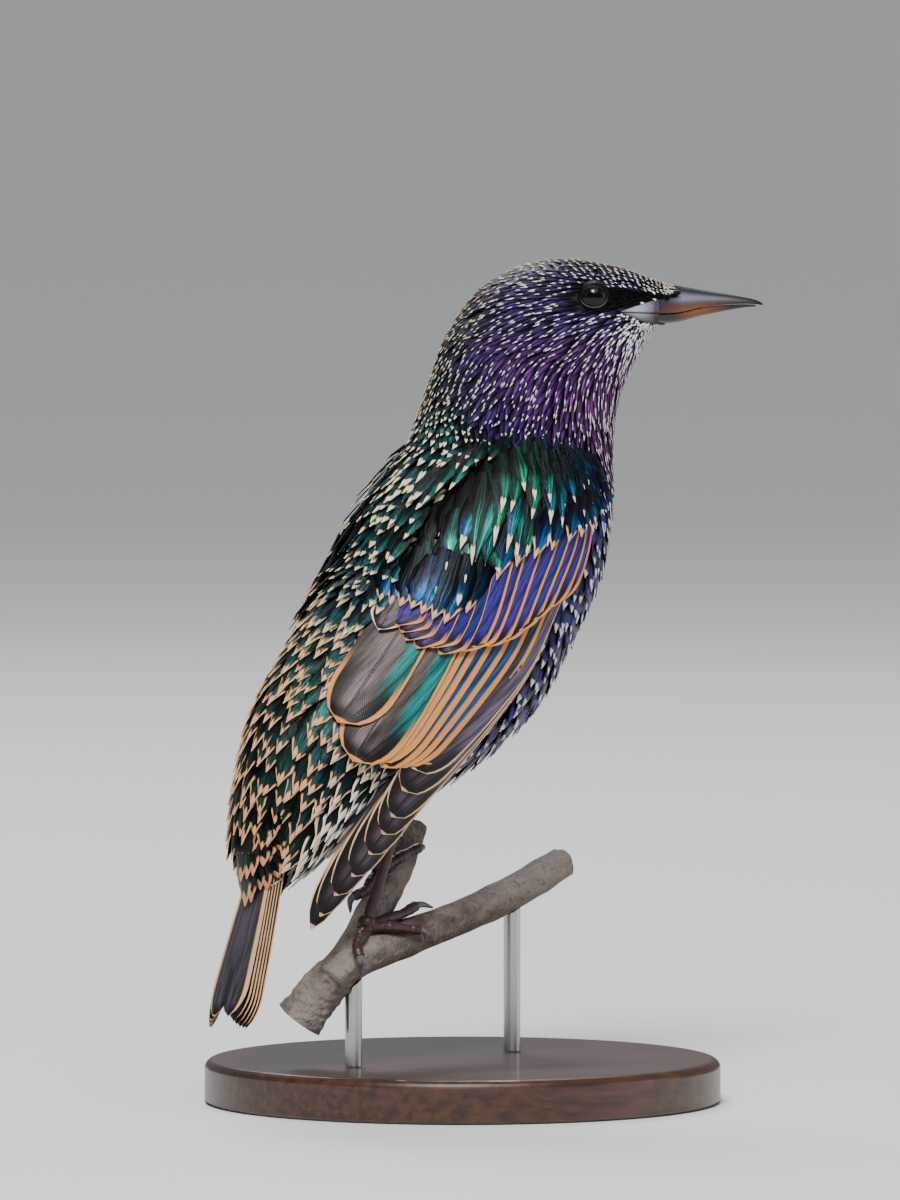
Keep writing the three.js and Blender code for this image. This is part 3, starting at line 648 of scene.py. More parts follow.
def lore_share(points):
    """1 in the black wedge from the eye to the nostril, and round the eye, and 0 outside it."""
    ahead, right, up = head_coords(points)
    inside = np.minimum(read_off(LORE_TOP, ahead) - up, up - read_off(LORE_LOW, ahead)) * 2.5 + 0.8
    front = np.clip((ahead - 9.5) / 1.5, 0, 1) * np.clip((28.6 - ahead) / 0.5, 0, 1)
    ring = np.hypot((ahead - EYE_AHEAD + 0.2) / 4.3, (up - EYE_UP + 0.35) / 3.35)
    return np.clip(np.maximum(inside * front, 6 - 5 * ring), 0, 1) * (np.abs(right) > 2)


def make_eye(name, side):
    """A ball with a black pupil, a dark brown iris and black round it."""
    rows, cols = 40, 64
    out, along = head_ways(side)
    polar, a = np.meshgrid(np.linspace(0.001, math.pi - 0.001, rows), full_turn(cols), indexing="ij")
    x, z = np.sin(polar) * np.cos(a), np.sin(polar) * np.sin(a)
    across = x[..., None] * along + z[..., None] * UP
    points = eye_centre(side) + EYE_RADIUS * (np.cos(polar)[..., None] * out + across)
    ring = np.degrees(polar).ravel()[:, None]
    iris = np.clip((ring - 24) / 3, 0, 1) * np.clip((50 - ring) / 10, 0, 1)
    eye = mesh_piece("eyeball_" + name, points, grid_faces(rows, cols, wrap=True), eye_stuff,
                     colours={"col": blend("030303", "150d0a", iris)})
    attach(eye, "root")
    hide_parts("eye_" + name)
    make_lids(name, side)


def make_lids(name, side):
    """The rim of the lids round the eye's opening, paler along the lower lid."""
    rows, cols = 96, 12
    centre = eye_centre(side)
    out, along = head_ways(side)
    b, c = full_turn(rows), full_turn(cols)
    x, z = OPENING[0] * np.cos(b), OPENING[1] * np.sin(b)
    y = np.sqrt((EYE_RADIUS + 0.1) ** 2 - x ** 2 - z ** 2)
    spine = centre + x[:, None] * along + z[:, None] * UP + y[:, None] * out
    normal = (spine - centre) / np.linalg.norm(spine - centre, axis=1)[:, None]
    ahead = np.roll(spine, -1, 0) - np.roll(spine, 1, 0)
    outward = np.cross(ahead / np.linalg.norm(ahead, axis=1)[:, None], normal)
    thick = 0.22 + 0.04 * np.sin(b)[:, None, None]
    rim = spine[:, None] + thick * (np.cos(c)[None, :, None] * outward[:, None]
                                    + 0.8 * np.sin(c)[None, :, None] * normal[:, None])
    low = np.clip(-np.sin(b) * 1.4, 0, 1)[:, None, None] * (np.sin(c) > 0.3)[None, :, None]
    faces = grid_faces(rows + 1, cols, wrap=True) % (rows * cols)
    lid = mesh_piece("lids_" + name, rim, faces, skin_stuff,
                     colours={"col": blend("040304", "4a4650", low).reshape(-1, 3)})
    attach(lid, "root")


# The body's feathers

# Spacing of the feathers across, and of their rows along, in millimetres at each station
ROWS_AT = [1.0, 3.0, 6.0, 9.5, 10.8, 12.0, 14.0, 16.0, 18.0, 19.9]
ACROSS = [3.0, 3.1, 3.0, 2.9, 2.1, 1.3, 1.12, 1.0, 0.8, 0.55]
ALONG = [4.8, 4.4, 4.0, 3.4, 2.8, 2.4, 1.95, 1.35, 1.0, 0.75]
NO_MARK = 0.01  # reach of a pale tip that is as good as none


def scatter(place, rows, t_from, t_to):
    """Staggered rings of feather roots from the bill's end towards the tail.

    Gives t and angle, the spacing across and along there, and the millimetres to a degree.
    """
    found, t, odd = [], t_from, 0
    while t > t_to:
        across, along = np.interp(t, ROWS_AT, ACROSS), np.interp(t, ROWS_AT, ALONG)
        here = smooth(rows, np.array(t))
        ring = math.pi * (np.hypot(here[0] - here[2], here[1] - here[3]) / 2 + here[4])
        count = max(10, round(ring / across))
        angle = -180 + 360 * (np.arange(count) + 0.5 * odd + 0.25) / count
        odd = 1 - odd
        found += [(t, a, ring / count, along, ring / 360) for a in angle]
        t -= along / np.mean(station_length(place, t, angle))
    return np.array(found).T


COAT_FROM, COAT_TO = 20.85, 1.9  # the stations between which the coat's rings of roots lie
LOWEST_TIP = 1.25  # no tip reaches below this station
HEAD_FROM, NECK_FROM = 14, 9.5  # the stations where the coat's three pieces meet
BROW_FROM = 19.95  # past this station there are feathers only on the brow


def make_body_coat():
    t, angle, across, along, per_degree = scatter(face_place, FACE, COAT_FROM, COAT_TO)
    n = len(t)
    t = np.clip(t + rng.normal(0, 0.012, n) * along, 1.0, 20.9)
    angle = angle + rng.normal(0, 0.16, n) * across / per_degree
    step = station_length(face_place, t, angle)
    col, glow, tip, extent, kind = plumage(t, angle)
    side = np.abs(angle)
    # Hackles are the long narrow feathers of the neck and throat
    hackle = np.interp(t, [10, 11.5, 15, 17], [0, 1, 1, 0]) * np.interp(side, [20, 60], [0.4, 1])
    length = along * (2.2 + 1.3 * hackle + np.interp(t, [3, 7], [0.9, 0])) * rng.uniform(0.88, 1.12, n)
    width = across * (1.72 - 0.45 * hackle - np.interp(t, [6, 8], [0.22, 0])) * rng.uniform(0.9, 1.1, n)
    # On the sides of the head and neck they lean up towards the nape
    lean = np.interp(t, [10.5, 12, 15.5, 17.5], [0, 0.62, 0.7, 0.25]) * np.sin(np.radians(side)) ** 0.7
    lean = lean * np.interp(side, [0, 110, 165, 180], [1, 1, 0.3, 0])
    lean = rng.normal(0, 0.1, n) - np.sign(angle) * lean
    ends = np.stack([t - length / np.maximum(step, 2), angle + lean * length / per_degree], 1)
    ends[:, 0] = np.maximum(ends[:, 0], LOWEST_TIP)
    lift = np.stack([-skin_depth(t) * 0.9, 0.05 + 0.2 * rng.random(n)], 1)
    point = np.interp(t, [3, 7, 9, 12], [1.0, 0.95, 0.8, 0.9])
    points, u, v = vanes(face_place, np.stack([t, angle], 1), ends, width, lift, rows=9, cols=7,
                         point=point, camber=0.12, widest=0.54, fray=0.09)
    middle = points[:, 5, 3]
    # Feathers keep clear of the bill, the tail's root, the eyes and the corner of the mouth
    clear = (t < BROW_FROM) | (side < 84 - 30 * (t - BROW_FROM))
    clear &= t > np.interp(side, [70, 120], [2.7, 2.3])
    clear &= opening_share(points).reshape(n, -1).min(1) > 1.1
    clear &= gape_share(middle) < 0.5
    lore = lore_share(middle)[:, None]
    brightness = rng.uniform(0.5, 1.5, (n, 1))
    col, glow = (blend(k * brightness, "050405", lore) for k in (col, glow))
    bare = rng.random(n) < np.interp(t, [5, 7, 10.5, 11.5], [0, 0.2, 0.2, 0.1])
    extent = extent * rng.uniform(0.7, 1.25, n) * (1 - 0.25 * hackle)
    extent = np.where((bare & (kind < 0.5)) | (lore[:, 0] > 0.3), NO_MARK, extent)
    mark = np.stack([extent, np.clip(kind, 0, 1), rng.random(n)], 1)
    spot = np.stack([(angle + 180) / 360, t / 21], 1)
    parts = [("coat_head", t >= HEAD_FROM), ("coat_neck", (t < HEAD_FROM) & (t >= NECK_FROM)),
             ("coat_body", t < NECK_FROM)]
    for name, inside in parts:
        keep = inside & clear
        coat = Coat(name, feather_stuff)
        coat.add(points[keep], u, v, col[keep], tip[keep], mark[keep], spot[keep], glow[keep])
        coat.finish()


# The bare, pale corner of the mouth: distance ahead, its upper and its lower edge
GAPE = np.array([[17.0, 174.4, 174.2], [19.5, 175.3, 173.1], [22.0, 176.1, 172.0], [24.5, 176.9, 171.2],
                 [26.0, 177.2, 171.1]])
# The line between the two halves of the bill: distance ahead, and height
MOUTH = [(17, 174.2), (29, 173.75)]


def gape_edges(ahead):
    """The upper and lower edge of the mouth's corner."""
    return (np.interp(ahead, GAPE[:, 0], GAPE[:, k]) for k in (1, 2))


def gape_share(points):
    """1 in the bare corner of the mouth and 0 outside it."""
    ahead, right, up = head_coords(points)
    top, low = gape_edges(ahead)
    return ((up < top) & (up > low) & (ahead > 17.5) & (np.abs(right) > 1.5)) * 1.0


def on_face(ahead, up):
    """The station and angle of the body's surface at points in the head's side view."""
    t = np.linspace(13.5, 20, 1300)
    bx, bz, vx, vz, _, _ = np.moveaxis(smooth(BODY, t), -1, 0)
    px, pz = np.ravel(ahead)[:, None] + NECK_X, np.ravel(up)[:, None]
    miss = np.abs((vx - bx) * (pz - bz) - (vz - bz) * (px - bx)) / np.hypot(vx - bx, vz - bz)
    k = np.argmin(miss, axis=1)
    mx, mz, hx, hz = (bx + vx)[k] / 2, (bz + vz)[k] / 2, (bx - vx)[k] / 2, (bz - vz)[k] / 2
    cos = ((px[:, 0] - mx) * hx + (pz[:, 0] - mz) * hz) / (hx ** 2 + hz ** 2)
    return t[k].reshape(np.shape(ahead)), np.degrees(np.arccos(np.clip(cos, -1, 1))).reshape(np.shape(ahead))


def make_gape():
    rows, cols = 40, 20
    f, g = np.meshgrid(np.linspace(0, 1, rows), np.linspace(0, 1, cols), indexing="ij")
    ahead = GAPE[0, 0] + (GAPE[-1, 0] - GAPE[0, 0]) * f
    top, low = gape_edges(ahead)
    up = top + (low - top) * g
    t, angle = on_face(ahead, up)
    mouth = read_off(MOUTH, ahead)
    crease = np.exp(-((up - mouth) / 0.2) ** 2)
    ridge = 0.35 * np.sin(np.pi * g) ** 0.6
    flesh = np.clip(1 - np.abs(ahead - 20.8) / 4.2, 0, 1)[..., None] ** 0.7
    horn = np.where(up[..., None] > mouth[..., None], linear("4c4450"), linear("4a3c38"))
    shade = blend(horn, "b4bac8", flesh * (1 - 0.7 * g[..., None]))
    shade = shade * (1 - 0.85 * crease[..., None]) * (0.25 + 0.75 * np.sin(np.pi * g) ** 0.5)[..., None]
    for name, side in SIDES:
        points = around(BODY, side)(t, angle, -0.15 + ridge - 0.35 * crease)
        piece = mesh_piece("gape_" + name, points, grid_faces(rows, cols), skin_stuff,
                           colours={"col": shade.reshape(-1, 3)})
        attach(piece, "root")


# Wings

# Each tract from its first feather to its last: roots and tips by station and angle, widths and lifts, the
# colours of feather, fringe and gloss, and the mark: the fringe's width on the outer web and at the tip, and
# how much gloss, over 1 for gloss on both webs. point is how pointed the feathers are.
TRACTS = [
    # primaries
    dict(count=9, roots=[(2.8, 98), (3.6, 104)],
         tips=[(6.7, 92), (7.5, 99), (8.4, 102), (9.5, 97), (10.25, 91)],
         widths=(13, 9.5), lifts=(0.7, -1.3), colours=("3a3038", "d3ad80", "6a6078"), mark=(0.07, 0.011, 0.7),
         point=0.1),
    # secondaries
    dict(count=7, roots=[(3.2, 62), (2.6, 98)], tips=[(7.12, 71), (6.88, 82), (6.4, 93)],
         widths=(12, 9.5), lifts=(1.15, 0.5), colours=("241d22", "d08c4c", "1d4f80"), mark=(0.26, 0.02, 1.0),
         point=0.15),
    # the innermost, with a whitish edge
    dict(count=1, roots=[(3.7, 34)], tips=[(5.35, 38.5)],
         widths=(8.5, 8.5), lifts=(2.3, 2.3), colours=("5a504e", "e6d3bc", "5a504e"), mark=(0.05, 0.02, 0.0),
         point=0.7),
    # the two long tertials
    dict(count=2, roots=[(3.2, 44), (3.4, 56)], tips=[(6.85, 47), (7.22, 64)],
         widths=(15, 15.5), lifts=(1.8, 1.5), colours=("463c3a", "d48c4a", "0f6a68"), mark=(0.08, 0.02, 0.95),
         point=0.12),
    # greater coverts, inner
    dict(count=6, roots=[(3.5, 39), (3.3, 50), (3.1, 62)], tips=[(5.15, 44), (5.25, 54), (5.0, 66)],
         widths=(9.5, 8.5), lifts=(2.4, 2.1), colours=("07061a", "d68a46", "182263"), mark=(0.05, 0.026, 1.9),
         point=0.85),
    # greater coverts, outer
    dict(count=8, roots=[(2.8, 68), (2.0, 84), (1.1, 92)],
         tips=[(4.75, 71), (4.3, 80), (3.6, 91), (3.0, 100)],
         widths=(8.5, 7), lifts=(2.0, 1.6), colours=("100c30", "d68a46", "272f80"), mark=(0.16, 0.03, 1.7),
         point=0.6),
]


def between(rows, f):
    """Smoothly through the rows of a short table, by share of its length."""
    rows = np.array(rows, float)
    return smooth(rows, f * (len(rows) - 1)) if len(rows) > 1 else rows


def make_wing(name, side):
    place = around(CLOAK, side)
    coat = Coat("vanes_wing_" + name, flight_stuff, ("wing_" + name,))
    for tract in TRACTS:
        count, mark = tract["count"], tract["mark"]
        f = np.linspace(0, 1, count)
        root, end = between(tract["roots"], f), between(tract["tips"], f)
        end = end + rng.normal(0, 1, end.shape) * [0.025, 0.4]
        width, lift = (np.interp(f, [0, 1], tract[k]) for k in ("widths", "lifts"))
        points, u, v = vanes(place, root, end, width, np.stack([lift - 0.9, lift], 1), rows=25, cols=11,
                             point=tract["point"], camber=0.03, widest=0.8, tuck=0.8, shaft=0.08)
        vary = rng.uniform(0.75, 1.25, (count, 1))
        violet = rng.uniform(0, 0.8, (count, 1)) * (mark[2] > 1)
        feather, fringe, gloss = tract["colours"]
        spot = root[:, ::-1] / [180, 11]
        coat.add(points, u, v, linear(feather) * vary, linear(fringe), np.array(mark), spot,
                 blend(gloss, "35196e", violet) * vary)
    coat.finish()
    make_small_coverts(name, place)


# The upper edge of the wing's glossy field, as station and angle, and how far down its tips reach, as angle
# and station
ARC = [(0, 60), (0.3, 48), (0.7, 39), (1.75, 31), (2.45, 30), (3.2, 29), (4.6, 33)]
REACH = [(28, 4.9), (45, 4.7), (59, 4.6), (65, 4.05), (70, 3.25), (80, 2.7), (88, 2.25), (98, 1.8),
         (104, 1.4)]
# The small feathers' kinds: the glossy field, the spotted ones between it and the back, and the one row of
# median coverts under it
FIELD, UPPER, MEDIAN = 0, 1, 2
MEDIAN_ANGLES = np.linspace(31, 98, 15)


def small_covert_roots():
    """The roots of all small feathers of a wing, as t, angle, scale and kind."""
    found, t, odd = [], 0.04, 0
    while t < 4.7:
        low = read_off(ARC, t)
        # A row of the field, closer together towards the wing's edge
        a = low + 3.5 * odd + 1
        while a < 104:
            small = np.clip((a - 68) / 20, 0, 1)
            scale = np.interp(t, [0, 0.6, 2], [0.5, 0.75, 1.0]) * (1 - 0.45 * small)
            if t + 1.25 * scale < read_off(REACH, a) - 0.1:
                found.append((t, a, scale, FIELD))
            a += 9.4 * scale
        # The same row's spotted feathers, from the back down to the field
        a = 13 + 2.6 * odd
        while a < low - 1:
            found.append((t, a, np.interp(t, [0, 3], [0.55, 0.75]), UPPER))
            a += 5.0
        odd = 1 - odd
        t += np.interp(t, [0, 0.8, 2], [0.18, 0.3, 0.5])
    for a in MEDIAN_ANGLES:
        length = np.interp(a, [31, 60, 98], [1.3, 1.3, 0.75])
        found.append((read_off(REACH, a) - length, a - 5, 1.2, MEDIAN))
    return np.array(found).T


def make_small_coverts(name, place):
    """The glossy pointed feathers of the field, the spotted ones above it and the median coverts."""
    t, angle, scale, kind = small_covert_roots()
    n = len(t)
    upper, median = (kind == UPPER) * 1.0, kind == MEDIAN
    t = np.maximum(t + rng.normal(0, 0.05, n), 0.03)
    angle = angle + rng.normal(0, 1.0, n)
    step = np.linalg.norm(place(t + 0.1, angle, 0) - place(t, angle, 0), axis=1) / 0.1
    length = scale * (15.5 - 2.5 * upper) * rng.uniform(0.88, 1.12, n)
    run = length / np.maximum(step, 6)
    ends = np.stack([t + run, angle + run * (8 - 7 * upper) + rng.normal(0, 1.5, n)], 1)
    past = ends[:, 0] - read_off(REACH, ends[:, 1]) + 0.15
    ends[:, 0] -= np.clip(past, 0, 1) * (1 - upper)
    ends[median] = np.stack([read_off(REACH, MEDIAN_ANGLES), MEDIAN_ANGLES], 1)
    scale = np.where(median, np.interp(angle, [30, 60, 98], [1.25, 1.15, 0.85]), scale)
    # Heights over the wing: the field rises from its upper edge, and its last tips lie over the coverts
    below = angle - read_off(ARC, t)
    high = np.interp(below, [0, 9], [1.2, 2.7])
    high = np.where(upper > 0, np.interp(below, [-20, -4, 4], [0.3, 2.4, 2.8]), high)
    near = np.clip(1 - (read_off(REACH, angle) - ends[:, 0]) / 0.8, 0, 1) * (1 - upper)
    high = high + np.interp(t, [0, 0.2, 0.8], [-3.2, -2.2, 0]) + 0.9 * near - 0.35 * median
    lift = np.stack([high - 1.6 + 0.9 * near, high + rng.uniform(-0.1, 0.35, n)], 1)
    points, u, v = vanes(place, np.stack([t, angle], 1), ends, scale * (5.6 - 0.9 * upper), lift, rows=11,
                         cols=9, point=1.0 - 0.3 * upper, camber=0.13, widest=0.5, fray=0.07)
    # Green in the middle and blue round it, in shadow along the upper edge
    blue = np.clip(np.maximum((angle - 66) / 22, (t - 3.0) / 1.2), 0, 1)[:, None]
    blue = np.clip(np.maximum(blue, 0.8 - t[:, None] * 1.2) + rng.normal(0, 0.22, (n, 1)), 0, 1)
    blue = np.maximum(blue, 0.8 * median[:, None])
    grey = upper[:, None] * np.interp(t, [0, 4.6], [0.4, 1])[:, None]
    col = blend(blend("052420", "0a1a50", blue), "0b2a30", grey)
    glow = blend(blend("1a9a74", "1a5cae", blue), "15595c", grey)
    shadow = np.where(upper > 0, 1.0, 0.03 + 0.97 * np.clip((below - 2.5) / 7, 0, 1) ** 1.2)
    shadow = np.where(median, 0.55, shadow)
    # A random tone, times the painted shadow along the field's upper edge
    brightness = rng.uniform(0.4, 1.6, (n, 1)) * shadow[:, None]
    chance = np.where(upper > 0, 0.88, np.interp(angle, [60, 84], [0.55, 1.0]))
    spotted = rng.random(n) < np.where(t < 1.2, 0.95, chance)
    spotted = (spotted & (shadow > 0.12)) | ((below > 0) & (below < 5) & (t > 0.5))
    extent = np.where(spotted, rng.uniform(0.2, 0.28, n), NO_MARK)
    extent = np.where(median, 0.3, extent)
    vee = np.where(upper > 0, np.interp(t, [3, 4.6], [0, 0.8]), median * 1.0)
    tip = np.where(median[:, None], linear("dc9a60"), linear("eed9ae"))
    mark = np.stack([extent, vee, rng.random(n)], 1)
    coat = Coat("coverts_wing_" + name, feather_stuff)
    coat.add(points, u, v, col * brightness, tip, mark, np.stack([angle / 180, np.clip(t, 0, 11) / 11], 1),
             glow * brightness)
    coat.finish()


# Half of the tail's feathers, from the middle out: how far out each one's outer edge lies at the tip, and
# how wide it is
TAIL_EDGES = np.array([9.6, 10.8, 11.6, 12.3, 12.9, 13.4])
TAIL_WIDTHS = np.array([11.5, 9.5, 9.0, 8.5, 8.0, 8.0])
TAIL_ROOT = 50.0  # the feathers start this far from the tail's tip


def make_tail():
    coat = Coat("vanes_tail", flight_stuff, ("tail",))
    count = len(TAIL_EDGES)
    f = np.linspace(0, 1, count)
    root = np.stack([np.full(count, TAIL_ROOT), 1.2 + 3.2 * f], 1)
    end = np.stack([3.2 * (1 - f) ** 2 + 1.2 * f, TAIL_EDGES - TAIL_WIDTHS / 2], 1)
    lift = np.interp(f, [0, 1], [0.9, -0.9])
    mark = np.array([[0.3, 0.008, 0.5]] + [[0.13, 0.008, 0.5]] * (count - 1))
    for flip in (-1, 1):
        points, u, v = vanes(on_tail(flip), root, end, TAIL_WIDTHS, np.stack([lift, lift], 1), rows=25,
                             cols=11, point=0.35, camber=0.03, widest=0.85, tuck=-0.4, shaft=0.08)
        spot = np.stack([0.5 + flip * root[:, 1] / 40, np.full(count, 0.05)], 1)
        coat.add(points, u, -v, linear("423c46"), linear("dcae7e"), mark, spot, linear("5c5468"))
    coat.finish()
    make_tail_coverts()


# Rows over and under the tail's root: how far from the tail's tip the middle one ends, lift at root and tip,
# half spread at root and tip
TAIL_COVERTS = [(30, 6.2, 1.8, 8.5, 10), (35, 7.2, 4.1, 9, 10.5), (40, 8.2, 6.1, 9, 10.5),
                (27, -5.4, -2.4, 5, 6), (33, -6.4, -4.6, 6, 7), (39, -7.4, -6.2, 6, 7)]


def make_tail_coverts():
    """Rows of long feathers over and under the root of the tail."""
    coat = Coat("coverts_tail", feather_stuff)
    count = 5
    for flip in (-1, 1):
        for row, (reach, high, low, wide, spread) in enumerate(TAIL_COVERTS):
            under = high < 0
            f = (np.arange(count) + 0.1 + 0.5 * (row % 2)) / (count - 0.4)
            root = np.stack([reach + 15 - 2 * f, wide * f], 1)
            end = np.stack([reach + 8 * f * f, spread * f], 1) + rng.normal(0, 1, (count, 2)) * [0.8, 0.3]
            sag = np.sign(high) * 2.6 * f ** 2
            lift = np.stack([height - sag + np.square(at[:, 1]) / TAIL_BOW
                             for height, at in ((high, root), (low, end))], 1)
            points, u, v = vanes(on_tail(flip), root, end, 6.2 + rng.normal(0, 0.3, count), lift, rows=16,
                                 cols=9, point=0.8, camber=0.1, widest=0.68, fray=0.04)
            col, glow, tip = ("060709", "121318", "f0ebe2") if under else ("0c1f1a", "1c4a38", "c77a3c")
            mark = np.stack([np.full(count, 0.36 + 0.14 * under), np.full(count, 1.0), rng.random(count)], 1)
            bake = np.stack([0.5 + flip * f / 3, np.full(count, 0.1)], 1)
            coat.add(points, u, v, linear(col), linear(tip), mark, bake, linear(glow))
    coat.finish()


# Bill

# Distance ahead, upper and lower edge, half width
UPPER_BILL = np.array([
    [24.8, 179.4, 174.0, 5.75], [28.0, 180.5, 173.9, 4.6], [31.5, 180.0, 174.2, 3.7],
    [36.0, 179.2, 175.2, 2.9], [41.0, 178.4, 175.8, 2.2], [45.5, 177.6, 176.0, 1.5],
    [48.5, 176.9, 175.9, 0.9], [50.2, 176.1, 175.65, 0.35],
])
LOWER_BILL = np.array([
    [24.8, 173.7, 171.5, 5.2], [28.0, 173.7, 171.4, 4.2], [31.5, 174.0, 171.9, 3.4],
    [36.0, 175.0, 173.1, 2.6], [41.0, 175.6, 174.2, 1.9], [45.5, 175.8, 175.0, 1.2],
    [48.6, 175.7, 175.3, 0.5],
])
HORN_FROM, HORN_LENGTH = 27, 22  # where the horn's colours start, and over what length they run
NOSTRIL_AHEAD, NOSTRIL_UP = 30.0, 177.9


def upper_horn_colour(share, level, pit):
    """Dark, warm along the edge in the middle, a painted grey-violet highlight on the side, painted black
    shade in the nostril.
    """
    low = np.clip(1 - level * 2.2, 0, 1)
    middle = np.exp(-((share - 0.28) / 0.3) ** 2)
    colour = blend("17151b", "6e4424", (low * middle)[..., None])
    # A grey-violet painted highlight along the side of the upper half, where the light falls
    side = np.exp(-(level - 0.55) ** 2 / 0.03)
    lit = 0.8 * side * np.clip(1.1 - share, 0, 1) * np.clip(share * 6 - 0.2, 0.25, 1)
    colour = blend(colour, "746c8c", lit[..., None])
    # Painted shade: black in the nostril's pit
    colour = colour * (1 - 0.97 * np.clip(pit * 2.2, 0, 1))[..., None]
    return colour * (1 - 0.6 * np.clip((share - 0.7) / 0.3, 0, 1))[..., None]


def lower_horn_colour(share):
    """Dark at the root, warm brown in the middle and dark at the tip."""
    share = share[..., None]
    colour = blend("2e2628", "74431f", np.clip((share - 0.12) / 0.2, 0, 1))
    return blend(colour, "1e1b22", np.clip((share - 0.42) / 0.3, 0, 1))


def make_bill(half_name, table, arch):
    """One half of the bill, arched up where arch is 1 and down where it is -1."""
    rows, cols = 90, 64
    upper = arch > 0
    f, a = np.meshgrid(np.linspace(0, len(table) - 1, rows), full_turn(cols), indexing="ij")
    ahead, top, bottom, half = np.moveaxis(smooth(table, f), -1, 0)
    rise = np.maximum(0, arch * np.cos(a)) ** (1.15 if upper else 0.9)
    height = (bottom if upper else top) + arch * rise * (top - bottom)
    out = half * np.sign(np.sin(a)) * np.abs(np.sin(a)) ** 0.9
    pit = np.exp(-((ahead - NOSTRIL_AHEAD) / 1.3) ** 2 - ((height - NOSTRIL_UP) / 0.5) ** 2) * upper
    points = in_head(ahead, out * (1 - 0.14 * pit), height)
    share = (ahead - HORN_FROM) / HORN_LENGTH
    level = (height - bottom) / np.maximum(top - bottom, 0.3)
    colour = upper_horn_colour(share, level, pit) if upper else lower_horn_colour(share)
    colour = np.concatenate([colour[:1], colour, colour[-1:]]).reshape(-1, 3)
    piece = mesh_piece("horn_" + half_name, drawn_in(points), grid_faces(rows + 2, cols, wrap=True),
                       horn_stuff, colours={"col": colour})
    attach(piece, "root")
    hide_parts("bill_" + half_name)


# Perch, legs and feet

FORK = np.array([-36.5, -6, 25.5])
# The points each arm of the branch runs through, and its radius at the two ends
ARMS = {
    "trunk": ([(-45, 1.5, 12), (-41, -2, 19), FORK], (5.8, 4.5)),
    "rear": ([FORK, (-26, 0, 35), (-15, 6, 44.5), (-5, 12.5, 54)], (4.4, 3.3)),
    "front": ([FORK + [-5, 0, -4], FORK, (-20, -3.2, 29.6), (2, 3.4, 33.6), (20, 7.2, 38.6),
               (36, 10.5, 44.5)], (4.8, 3.6)),
}
TOE_RADIUS, PAD_RADIUS = 1.35, 2.3
CLAW_SHARE = 0.7  # the claw starts at this share of a toe's length
CLAW_ROOT, CLAW_TIP = 1.0, 0.2
TOE_RIPPLE, SHANK_RIPPLE = 70, 60  # radians of the scales' ripple along a toe and along a shank
# How high a toe's underside lies over the bark at each step: the claw arches, and its tip sinks in
STEP_LIFTS = (0.15, 0.15, 0.15, 0.9, -0.7)
SHANK_RADIUS = 1.25
THIGH_TOP, THIGH_END = 6.2, 1.7
# Each foot stands at a distance along its arm, its pad leaning by degrees round it, and the shank's upper end
# is at heel. A toe's steps are distances along the arm from the pad, and angles round it.
FEET = {
    "right": dict(arm="front", stand=13.5, lean=6, heel=(-21.5, -10.5, 69), toes=[
        [(0, 5), (6, 4), (12, 4), (18, 5), (22.5, 8)],
        [(0, -4), (4.5, -26), (9, -44), (13, -58), (16.5, -78)],
        [(0, 16), (4, 36), (8, 54), (11.5, 72), (13.5, 96)],
        [(0, 12), (-3.5, 28), (-6.5, 48), (-8, 76), (-8.5, 108)],
    ]),
    "left": dict(arm="rear", stand=27, lean=-6, heel=(-9.5, 11.5, 79), toes=[
        [(0, 0), (3, -4), (6.5, -6), (10, -5), (13, -4)],
        [(0, 4), (4, 26), (7.5, 46), (10.5, 66), (12, 92)],
        [(0, -14), (4, -34), (7.5, -54), (10.5, -74), (12, -100)],
        [(0, -6), (-4, -8), (-8.5, -12), (-11.5, -34), (-12.5, -66)],
    ]),
}
curves = {key: Curve(points) for key, (points, _) in ARMS.items()}


def on_branch(arm, distance, angle, lift):
    """A point at a distance along an arm, at an angle from its upper side, lift above the bark."""
    curve, radii = curves[arm], ARMS[arm][1]
    f = np.clip(distance / curve.length, 0, 1)
    ahead = curve.pick(curve.ahead, f)
    out = UP - ahead * ahead[2]
    out = out / np.linalg.norm(out)
    right = np.cross(ahead, out)
    a, r = math.radians(angle), radii[0] + (radii[1] - radii[0]) * f + lift
    return curve.pick(curve.line, f) + (out * math.cos(a) + right * math.sin(a)) * r + UP * LIFT


def join_parts(name, parts, material):
    """Several (points, faces, colours) as one piece."""
    points, faces, colours, count = [], [], [], 0
    for p, f, c in parts:
        p = p.reshape(-1, 3)
        points.append(p)
        faces.append(f + count)
        colours.append(np.broadcast_to(c, p.shape))
        count += len(p)
    piece = mesh_piece(name, np.concatenate(points), np.concatenate(faces), material,
                       colours={"col": np.concatenate(colours)})
    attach(piece, "root")
    return piece


def toe_radius(f):
    """Swollen at the joints, with a fine ripple for the scales."""
    swell = 1 + 0.1 * np.cos(6 * np.pi * f) + 0.035 * np.cos(TOE_RIPPLE * f)
    return TOE_RADIUS * (1 - 0.22 * f) * swell


def claw_radius(f):
    return CLAW_TIP + (CLAW_ROOT - CLAW_TIP) * (1 - (f - CLAW_SHARE) / (1 - CLAW_SHARE)) ** 0.8


def pad_radius(f):
    return PAD_RADIUS * np.sqrt(np.clip(1 - (2 * f - 1) ** 2, 0.0004, 1))


def shank_radius(f):
    waist = 0.3 * np.sin(np.pi * np.minimum(1, f * 1.2))
    return SHANK_RADIUS * (1.25 - waist + 0.035 * np.cos(SHANK_RIPPLE * f))


